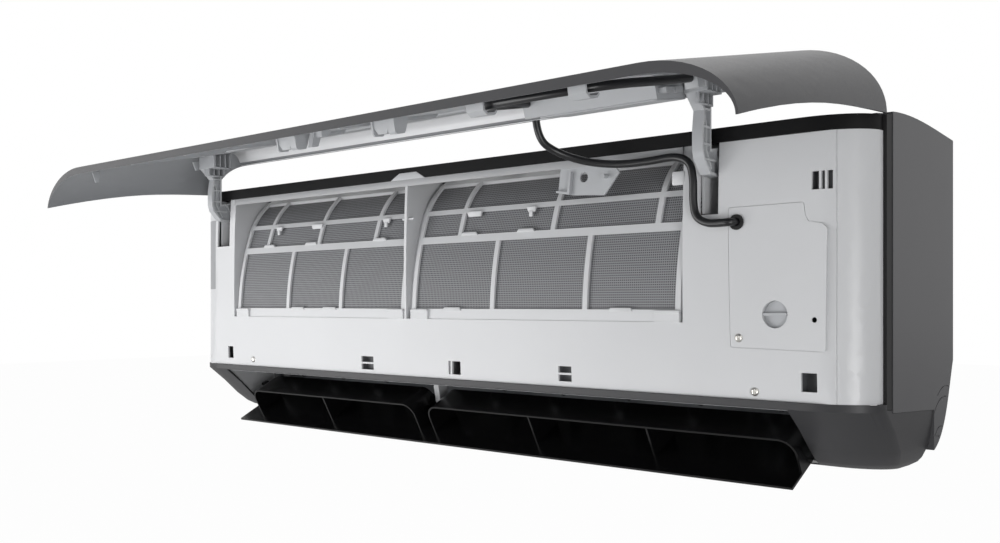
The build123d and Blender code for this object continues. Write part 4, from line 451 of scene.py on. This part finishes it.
# Front panel: one broad dished moulding, painted dark grey in a satin lacquer that
# is sprayed on and cured, so only a faint orange peel is left.
panel_paint = moulding("satin_lacquer_grey", "#464648", "#424244", 0.36, 2.0, 0.03, 0.25)
coat(panel_paint, "front_panel")

# Soft edges: no tool leaves a knife edge, so the large mouldings are shown by copies
# of their own shapes with every sharp edge rounded over by a few tenths of a millimetre.
smooth_below = math.radians(32)
round_above = math.radians(40)


def settle_shading(piece):
    """Smooth the rounded edges and keep the broad faces flat; the piece is the active one."""
    bpy.ops.object.shade_smooth_by_angle(angle=smooth_below)
    flat_faces = piece.modifiers.new("flat_faces", "WEIGHTED_NORMAL")
    flat_faces.weight = 100
    flat_faces.keep_sharp = True
    bpy.ops.object.modifier_apply(modifier=flat_faces.name)


def soft_copy(node, name, radius_mm):
    """A copy of a CAD moulding, its loose triangles joined and its sharp edges rounded."""
    bpy.ops.object.select_all(action="DESELECT")
    piece = frame["nodes"][node].copy()
    piece.data = piece.data.copy()
    piece.name = piece.data.name = name
    piece.parent = None
    for key in list(piece.keys()):
        del piece[key]
    scene.collection.objects.link(piece)
    bpy.context.view_layer.objects.active = piece
    piece.select_set(True)
    bpy.ops.mesh.customdata_custom_splitnormals_clear()
    bpy.ops.object.mode_set(mode="EDIT")
    bpy.ops.mesh.select_all(action="SELECT")
    bpy.ops.mesh.remove_doubles(threshold=0.00001)
    bpy.ops.mesh.dissolve_limited(angle_limit=math.radians(0.05))
    bpy.ops.object.mode_set(mode="OBJECT")
    rounding = piece.modifiers.new("edge_round", "BEVEL")
    rounding.width = radius_mm / 1000
    rounding.segments = 2
    rounding.limit_method = "ANGLE"
    rounding.angle_limit = round_above
    bpy.ops.object.modifier_apply(modifier=rounding.name)
    settle_shading(piece)
    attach(piece, frame["nodes"][node]["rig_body"])
    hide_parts(node)
    return piece


for node, radius_mm in (
    ("front_frame", 0.5),
    ("terminal_cover", 0.3),
    ("cover_latch", 0.2),
    ("filter_frame_left", 0.5),
    ("filter_frame_right", 0.5),
    ("top_rail", 0.4),
    ("lower_housing", 0.7),
    ("left_side_panel", 0.6),
    ("right_side_panel", 0.6),
    ("louver_flap", 0.5),
    ("louver_hoods", 0.4),
    ("panel_clips", 0.4),
    ("module_housing", 0.6),
    ("module_cover", 0.3),
    ("lead_bracket", 0.3),
    ("panel_liner", 0.3),
):
    soft_copy(node, node + "_soft", radius_mm)


# Shaded shoulder: the frame's rounded left shoulder, beside the arm's slot, turns away from
# the lamps; the frame's faces are cut there and given a grey that is painted shade.
shoulder_shade_grey = moulding("painted_shade_shoulder_grey", "#9c9da0", "#949598", 0.45, 1.5, 0.06)
shade_bottom, shade_top = 0.012, 0.110
shade_side = -0.4515
shoulder_back = -0.164
frame_copy = bpy.data.objects["front_frame_soft"]
frame_copy.data.materials.append(shoulder_shade_grey)
bpy.ops.object.select_all(action="DESELECT")
frame_copy.select_set(True)
bpy.context.view_layer.objects.active = frame_copy
bpy.ops.object.mode_set(mode="EDIT")
for cut, way in (
    ((0, 0, shade_bottom), (0, 0, 1)),
    ((0, 0, shade_top), (0, 0, 1)),
    ((shade_side, 0, 0), (1, 0, 0)),
):
    bpy.ops.mesh.select_all(action="SELECT")
    bpy.ops.mesh.bisect(plane_co=cut, plane_no=way)
bpy.ops.object.mode_set(mode="OBJECT")
# faces on the shoulder between these cuts take the painted shade grey
for face in frame_copy.data.polygons:
    x, y, z = face.center
    if x < shade_side + 0.0001 and shade_bottom < z < shade_top and y < shoulder_back:
        face.material_index = 1

# Seam: the frame's rounded right end is a moulding of its own, set against the
# flat face with a joint 0.8 mm wide and 0.6 mm deep from top to bottom.
seam_left, seam_right = 0.4676, 0.4684
seam_depth = 0.0006
front_skin = -0.186
bpy.ops.object.mode_set(mode="EDIT")
bpy.ops.mesh.select_mode(type="FACE")
for side in (seam_left, seam_right):
    bpy.ops.mesh.select_all(action="SELECT")
    bpy.ops.mesh.bisect(plane_co=(side, 0, 0), plane_no=(1, 0, 0))
bpy.ops.mesh.select_all(action="DESELECT")
bpy.ops.object.mode_set(mode="OBJECT")
for face in frame_copy.data.polygons:
    x, y, z = face.center
    face.select = seam_left < x < seam_right and y < front_skin and face.normal.y < -0.5
bpy.ops.object.mode_set(mode="EDIT")
bpy.ops.mesh.extrude_region_move(TRANSFORM_OT_translate={"value": (0, seam_depth, 0)})
bpy.ops.mesh.select_all(action="SELECT")
bpy.ops.object.mode_set(mode="OBJECT")
settle_shading(frame_copy)

# Face of the frame and of its cover: an arc that falls back 3 mm towards its top and
# bottom edges, 115.7 mm from its middle, so its normals turn evenly with height.
arc_fall, arc_reach, arc_middle = 3, 115.7, 21.3
flat_half_width = 0.4401
for piece in (frame_copy, bpy.data.objects["terminal_cover_soft"]):
    mesh = piece.data
    corners = [Vector(corner.vector) for corner in mesh.corner_normals]
    for face in mesh.polygons:
        if face.normal.y < -0.98 and abs(face.center.x) < flat_half_width:
            for corner in face.loop_indices:
                height = mesh.vertices[mesh.loops[corner].vertex_index].co.z * 1000
                slope = 2 * arc_fall * (height - arc_middle) / arc_reach**2
                corners[corner] = Vector((0, -1, slope)).normalized()
    mesh.normals_split_custom_set(corners)

# Front panel: its outside is lacquered, its inside stays the bare grey of the
# moulding. The raised panel leans 80 degrees over the hinge pins.
hinge_line = Vector((0, -0.1665, 0.1495))
panel_swing = math.radians(80)
lay_shut = Matrix.Rotation(panel_swing, 3, "X")


def to_shut(point):
    """A place on the raised panel, in millimetres, as it is when the panel is shut."""
    return (lay_shut @ (Vector(point) - hinge_line) + hinge_line) * 1000


def raise_selection():
    """In edit mode, swing what is selected from the shut panel's place to the raised one's."""
    bpy.ops.transform.rotate(value=panel_swing, orient_axis="X", center_override=hinge_line)


panel_skin = soft_copy("front_panel", "front_panel_skin", 0.5)
bare_moulding = moulding("moulded_abs_bare_grey", "#909295", "#898b8e", 0.42, 1.5, 0.06)
panel_skin.data.materials.append(bare_moulding)
for face in panel_skin.data.polygons:
    spot = to_shut(face.center)
    # the inside is what looks back at a line through the unit's middle, 400 mm each way
    core = Vector((max(-400, min(400, spot.x)), -185, 25))
    if (lay_shut @ face.normal).dot(spot - core) < 0:
        face.material_index = 1

# Arms: each is a web with a rim and cross ribs; the outward tops of the rim and the
# ribs are given a paler grey than the pockets between them, as a painted highlight.
edge_highlight_grey = moulding("painted_highlight_abs_edge_grey", "#c6c8ca", "#bcbec0", 0.4, 1.5, 0.06)
for arm, outer_side in (("left_arm", -429), ("right_arm", 354)):
    arm_copy = soft_copy(arm, arm + "_soft", 0.35)
    arm_copy.data.materials.append(edge_highlight_grey)
    for face in arm_copy.data.polygons:
        if face.center.x * 1000 > outer_side - 0.6 and face.normal.x > 0.3:
            face.material_index = 1


# Feet and spines of the arms: ribbed boxes that join each arm to the liner, and a rib
# down the middle of its gooseneck, moulded with it.
def pick_faces(piece, test):
    """In edit mode, select just the faces whose centre in millimetres and normal pass a test."""
    bpy.ops.mesh.select_mode(type="FACE")
    mesh = bmesh.from_edit_mesh(piece.data)
    for face in mesh.faces:
        face.select_set(bool(test(face.calc_center_median() * 1000, face.normal)))
    mesh.select_flush_mode()
    bmesh.update_edit_mesh(piece.data)


def start_block(low, high):
    """A cube added at its size and place in millimetres, ready to be shaped in edit mode."""
    bpy.ops.object.select_all(action="DESELECT")
    bpy.ops.mesh.primitive_cube_add(size=1)
    piece = bpy.context.object
    piece.location = [(a + b) / 2000 for a, b in zip(low, high)]
    piece.scale = [(b - a) / 1000 for a, b in zip(low, high)]
    bpy.ops.object.transform_apply(location=True, rotation=True, scale=True)
    bpy.ops.object.mode_set(mode="EDIT")
    return piece


def round_off(radius_mm):
    """Round every edge of the piece in edit mode, and leave edit mode."""
    bpy.ops.mesh.select_all(action="SELECT")
    bpy.ops.mesh.bevel(offset=radius_mm / 1000, segments=2, affect="EDGES")
    bpy.ops.object.mode_set(mode="OBJECT")


def rib(low, high, radius_mm=0.3, taper=None):
    """A rib or small wall; taper is (face direction, its share of full size)."""
    piece = start_block(low, high)
    if taper:
        way, share = Vector(taper[0]), taper[1]
        pick_faces(piece, lambda centre, normal: normal.dot(way) > 0.9)
        middle = Vector([(a + b) / 2000 for a, b in zip(low, high)])
        reach = Vector([(b - a) / 2000 for a, b in zip(low, high)])
        end = middle + Vector([w * r for w, r in zip(way, reach)])
        bpy.ops.transform.resize(value=(share, share, share), center_override=end)
    round_off(radius_mm)
    return piece


def put_together(name, parts, finish, body):
    """Join the parts into one piece, smooth it, and give it its finish and body."""
    bpy.ops.object.select_all(action="DESELECT")
    for part in parts:
        part.select_set(True)
    piece = parts[0]
    bpy.context.view_layer.objects.active = piece
    if len(parts) > 1:
        bpy.ops.object.join()
    piece.name = piece.data.name = name
    bpy.ops.object.shade_smooth_by_angle(angle=smooth_below)
    coat(finish, name)
    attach(piece, body)


foot_ribs = ((-231.2, 194.8), (-223.4, 196.4), (-215.6, 198.2), (-207.9, 200.0))  # back, top
gooseneck = ((-217.5, 168.0), (-211.7, 150.0), (-211.7, 129.5), (-202.5, 113.0))
rib_thickness = 1.4
for side, web, low_side, high_side in (
    ("left", -429.2, -418.2, -403.0),
    ("right", 353.8, 357.4, 366.0),
):
    foot = [
        rib((web - 11, -233.0, 178.5), (high_side, -231.4, 195.2)),
        rib((web, -231.4, 168.5), (low_side, -206.5, 170.0)),
        rib((web, -231.4, 178.5), (high_side, -206.5, 180.0)),
    ]
    for back, top in foot_ribs:
        foot.append(rib((web, back, 168.5), (low_side, back + rib_thickness, 180.0)))
        foot.append(rib((web, back, 178.5), (high_side, back + rib_thickness, top)))
    put_together(side + "_arm_foot", foot, liner_grey, "panel")
    spine = []
    for (y0, z0), (y1, z1) in zip(gooseneck, gooseneck[1:]):
        piece = start_block((web - 3.4, -0.6, 0), (web + 0.1, 0.6, math.hypot(y1 - y0, z1 - z0)))
        round_off(0.25)
        piece.rotation_euler = (math.pi + math.atan2(y1 - y0, z0 - z1), 0, 0)
        piece.location = (0, y0 / 1000, z0 / 1000)
        bpy.ops.object.transform_apply(location=True, rotation=True, scale=True)
        spine.append(piece)
    # The spine's rib takes the same paler grey, a painted highlight.
    put_together(side + "_arm_spine", spine, edge_highlight_grey, "panel")

# Liner's rear cove: the light strip that curls from the liner down to the panel's
# rear edge, with a bead along it. It is a satin moulding that mirrors the room below.
# Its near-white grey, far paler than the liner's, is painted light for the light from below,
# and the bead's pale line is a painted highlight.
cove_painted_light = moulding("satin_abs_painted_light_grey", "#e4e5e7", "#dedfe1", 0.24, 2.0, 0.03)
cove_length, cove_middle = 0.764, -0.040
upright_height, upright_centre = 0.006, 0.125
curl_start = 0.128
curl_centre = (0, -0.2090, curl_start)
bpy.ops.object.select_all(action="DESELECT")
bpy.ops.mesh.primitive_plane_add(size=1)
cove = bpy.context.object
cove.rotation_euler = (math.pi / 2, 0, 0)
cove.scale = (cove_length, upright_height, 1)
cove.location = (cove_middle, -0.2266, upright_centre)
bpy.ops.object.transform_apply(location=True, rotation=True, scale=True)
bpy.ops.object.mode_set(mode="EDIT")
bpy.ops.mesh.select_mode(type="EDGE")
strip = bmesh.from_edit_mesh(cove.data)
for edge in strip.edges:
    edge.select_set(all(corner.co.z > curl_start - 0.0001 for corner in edge.verts))
bmesh.update_edit_mesh(cove.data)
bpy.ops.mesh.spin(steps=14, angle=math.radians(84), center=curl_centre, axis=(1, 0, 0))
bpy.ops.mesh.select_all(action="SELECT")
bpy.ops.mesh.remove_doubles(threshold=0.00001)
bpy.ops.mesh.normals_make_consistent(inside=False)
raise_selection()
bpy.ops.object.mode_set(mode="OBJECT")
wall = cove.modifiers.new("wall", "SOLIDIFY")
wall.thickness = 0.0012
wall.offset = 0
bpy.ops.object.modifier_apply(modifier=wall.name)
bead = start_block((-422, -206.9, 146.4), (342, -205.7, 148.3))
bpy.ops.mesh.select_all(action="SELECT")
raise_selection()
round_off(0.3)
put_together("liner_cove", [cove, bead], cove_painted_light, "panel")

# Filter tabs: small hooks and flags moulded on the filters' bars, which hold the odour
# cartridges that can be clipped behind them, and low tabs on the bars and the sill.
for side, spots, bar_tabs, sill_tabs in (
    (
        "left",
        (("hook", -325.7), ("flag", -240.4), ("hook", -109.3)),
        (-340.3, -249.5, -115.4),
        (-262, -197),
    ),
    ("right", (("flag", 41.9), ("hook", 121.8)), (35.8, 118.5), (20, 250)),
):
    tabs = []
    for kind, x in spots:
        if kind == "hook":
            tabs.append(rib((x - 6.5, -181.6, 89.5), (x + 6.5, -178.6, 95.0), 0.5, ((0, 0, -1), 0.7)))
            tabs.append(rib((x - 2.4, -182.4, 84.5), (x + 2.4, -180.4, 90.5), 0.5))
        else:
            tabs.append(rib((x - 15, -181.6, 89.0), (x + 8, -178.8, 95.0), 0.5, ((0, 0, -1), 0.8)))
    for x in bar_tabs:
        tabs.append(rib((x - 12.5, -187.6, 67.8), (x + 12.5, -184.6, 71.4), 0.5, ((0, 0, 1), 0.8)))
    for x in sill_tabs:
        tabs.append(rib((x - 14, -199.6, -17.0), (x + 14, -197.6, -13.2), 0.4, ((0, 0, 1), 0.85)))
    put_together("filter_tabs_" + side, tabs, filter_white, "filter_" + side)

# Small shapes of the front frame: the tab over the rail, the pin through the divider,
# the catch at the filter's corner, and the guides and back walls of the arms' slots.
details = [
    rib((-80.0, -201.0, 136.4), (-22.0, -199.0, 144.4), 0.6, ((0, 0, 1), 0.5)),  # tab
    rib((308.5, -198.9, 101.5), (322.5, -196.6, 114.5), 1.6),  # catch
    rib((339.2, -196.0, 73.0), (341.9, -162.5, 128.0), 0.4),  # right slot: guide, back
    rib((337.0, -126.6, 68.0), (360.0, -124.2, 139.0), 0.4),
    rib((-445.8, -194.0, 73.0), (-443.4, -162.5, 128.0), 0.4),  # left slot: guide, back
    rib((-447.5, -126.6, 68.0), (-415.5, -124.2, 139.0), 0.4),
]
bpy.ops.object.select_all(action="DESELECT")
bpy.ops.mesh.primitive_cylinder_add(
    vertices=24,
    radius=0.0014,
    depth=0.0185,
    location=(-0.0545, -0.1955, 0.0905),
    rotation=(0, math.pi / 2, 0),
)
pin = bpy.context.object
bpy.ops.object.transform_apply(location=True, rotation=True, scale=True)
bpy.ops.object.mode_set(mode="EDIT")
pick_faces(pin, lambda centre, normal: abs(normal.x) > 0.9)
bpy.ops.mesh.inset(thickness=0.0004)
bpy.ops.mesh.select_all(action="SELECT")
bpy.ops.object.mode_set(mode="OBJECT")
details.append(pin)
put_together("frame_details", details, frame_white, "unit")


# Clip pockets: trays behind the frame's clip holes, where the panel's clips snap in.
# They are open to the room, and their darker grey is painted shade for the dim inside of the holes.
def pocket(low, high, depth_mm):
    """A tray open to the room, for the inside of a clip hole."""
    piece = start_block(low, high)
    pick_faces(piece, lambda centre, normal: normal.y < -0.9)
    bpy.ops.mesh.inset(thickness=0.0012)
    bpy.ops.transform.translate(value=(0, depth_mm / 1000, 0))
    bpy.ops.object.mode_set(mode="OBJECT")
    return piece


pockets = [
    pocket((-137.4, -195.0, -90.6), (-112.6, -188.5, -72.2), 5.4),
    pocket((171.0, -195.0, -90.0), (190.2, -188.5, -72.2), 5.4),
    pocket((446.0, -193.0, 86.4), (466.4, -186.0, 104.6), 5.4),
    pocket((436.2, -194.8, -86.4), (453.2, -184.0, -67.6), 9.6),
]
pocket_shade_grey = moulding("pocket_painted_shade_grey", "#5c5d60", "#555659", 0.45, 1.5, 0.06)
put_together("clip_pockets", pockets, pocket_shade_grey, "unit")

# Header: the strip over both filters, moulded as a lip on the frame that the filters
# slide up behind. Its greyer tone is painted shade, for the shadow of the rail and the raised panel.
header_shade_grey = moulding("header_painted_shade_grey", "#abacae", "#a5a6a8", 0.4, 1.5, 0.06)
header = rib((-404.3, -199.3, 128.7), (321.0, -196.9, 136.8), 0.5)
put_together("filter_header", [header], header_shade_grey, "unit")

# Panel's small fittings: the gland where the lead enters the panel, and the hooks
# near both ends that catch the frame when the panel shuts.
fittings = []
for low, high, taper_share in (
    ((375, -221.0, 36), (388, -206.5, 50), 0.7),  # gland
    ((-457, -216.5, -60), (-454.6, -202.4, -50), 0.5),
    ((-447, -218.5, 84), (-444.6, -206.0, 96), 0.6),
    ((430, -219.5, 96), (433, -206.0, 110), 0.6),
):
    piece = start_block(low, high)
    pick_faces(piece, lambda centre, normal: normal.y > 0.9)
    end = Vector([(a + b) / 2000 for a, b in zip(low, high)])
    end.y = high[1] / 1000
    bpy.ops.transform.resize(value=(1, 1, taper_share), center_override=end)
    bpy.ops.mesh.select_all(action="SELECT")
    raise_selection()
    round_off(0.4)
    fittings.append(piece)
put_together("panel_fittings", fittings, liner_grey, "panel")

# Studio: a matt white floor below the unit. To the camera it glows almost white, and
# the rest of what it shows is the plain floor with the unit's shadow on it.
floor_level = -0.9
glow_share = 0.975
bpy.ops.mesh.primitive_grid_add(
    x_subdivisions=2, y_subdivisions=2, size=30, location=(0, 0, floor_level)
)
floor = bpy.context.object
floor.name = "studio_floor"
floor_paint, tree, output, place = new_finish("matt_white_backdrop")
diffuse = add_node(tree, "ShaderNodeBsdfDiffuse", {"Color": linear("#f2f2f2")})
white = add_node(tree, "ShaderNodeEmission", {"Color": (1, 1, 1, 1), "Strength": 1.0})
rays = add_node(tree, "ShaderNodeLightPath")
share = add_node(
    tree,
    "ShaderNodeMath",
    {"operation": "MULTIPLY", 1: glow_share},
    {0: rays.outputs["Is Camera Ray"]},
)
backdrop = add_node(
    tree,
    "ShaderNodeMixShader",
    {},
    {0: share.outputs[0], 1: diffuse.outputs[0], 2: white.outputs[0]},
)
tree.links.new(backdrop.outputs[0], output.inputs["Surface"])
floor.data.materials.append(floor_paint)

# The room round it: dim and even as light, and plain white where the camera looks
# past the unit or the unit mirrors it.
room_level = 0.36
world = bpy.data.worlds.new("soft_white_room")
scene.world = world
world.use_nodes = True
tree = world.node_tree
tree.nodes.clear()
output = add_node(tree, "ShaderNodeOutputWorld")
rays = add_node(tree, "ShaderNodeLightPath")
seen = rays.outputs["Is Camera Ray"]
for kind_of_ray in ("Is Glossy Ray", "Is Transmission Ray"):
    either = add_node(
        tree, "ShaderNodeMath", {"operation": "MAXIMUM"}, {0: seen, 1: rays.outputs[kind_of_ray]}
    )
    seen = either.outputs[0]
room = add_node(tree, "ShaderNodeBackground", {"Color": (1, 1, 1, 1), "Strength": room_level})
sheet_white = add_node(tree, "ShaderNodeBackground", {"Color": (1, 1, 1, 1), "Strength": 1.0})
sky = add_node(
    tree,
    "ShaderNodeMixShader",
    {},
    {0: seen, 1: room.outputs[0], 2: sheet_white.outputs[0]},
)
tree.links.new(sky.outputs[0], output.inputs["Surface"])


# Lamps: soft boxes. The key stands low on the left, so the frame is brightest at its
# lower left; the others fill the panel's underside, its top, the right end and the back.
def soft_lamp(name, place, aim, width, height, power):
    """A rectangular soft box that points at a spot."""
    lamp = bpy.data.lights.new(name, "AREA")
    lamp.shape = "RECTANGLE"
    lamp.size = width
    lamp.size_y = height
    lamp.energy = power
    box = bpy.data.objects.new(name, lamp)
    box.location = place
    box.rotation_euler = (Vector(aim) - Vector(place)).to_track_quat("-Z", "Y").to_euler()
    scene.collection.objects.link(box)


soft_lamp("key_lamp", (-1.9, -1.8, -0.1), (-0.2, -0.2, -0.05), 1.3, 1.3, 19)
soft_lamp("bounce_lamp", (-0.7, -1.3, -0.8), (-0.1, -0.25, 0.18), 1.4, 0.8, 12)
soft_lamp("high_lamp", (-0.5, -1.7, 1.7), (0, -0.2, -0.05), 1.4, 1.0, 6)
soft_lamp("right_lamp", (2.1, -1.6, -0.6), (0.45, -0.2, -0.05), 0.5, 1.4, 22)
soft_lamp("back_top_lamp", (-0.4, 0.6, 1.9), (0, -0.1, 0.1), 1.6, 1.0, 6)

scene.view_settings.view_transform = "Standard"
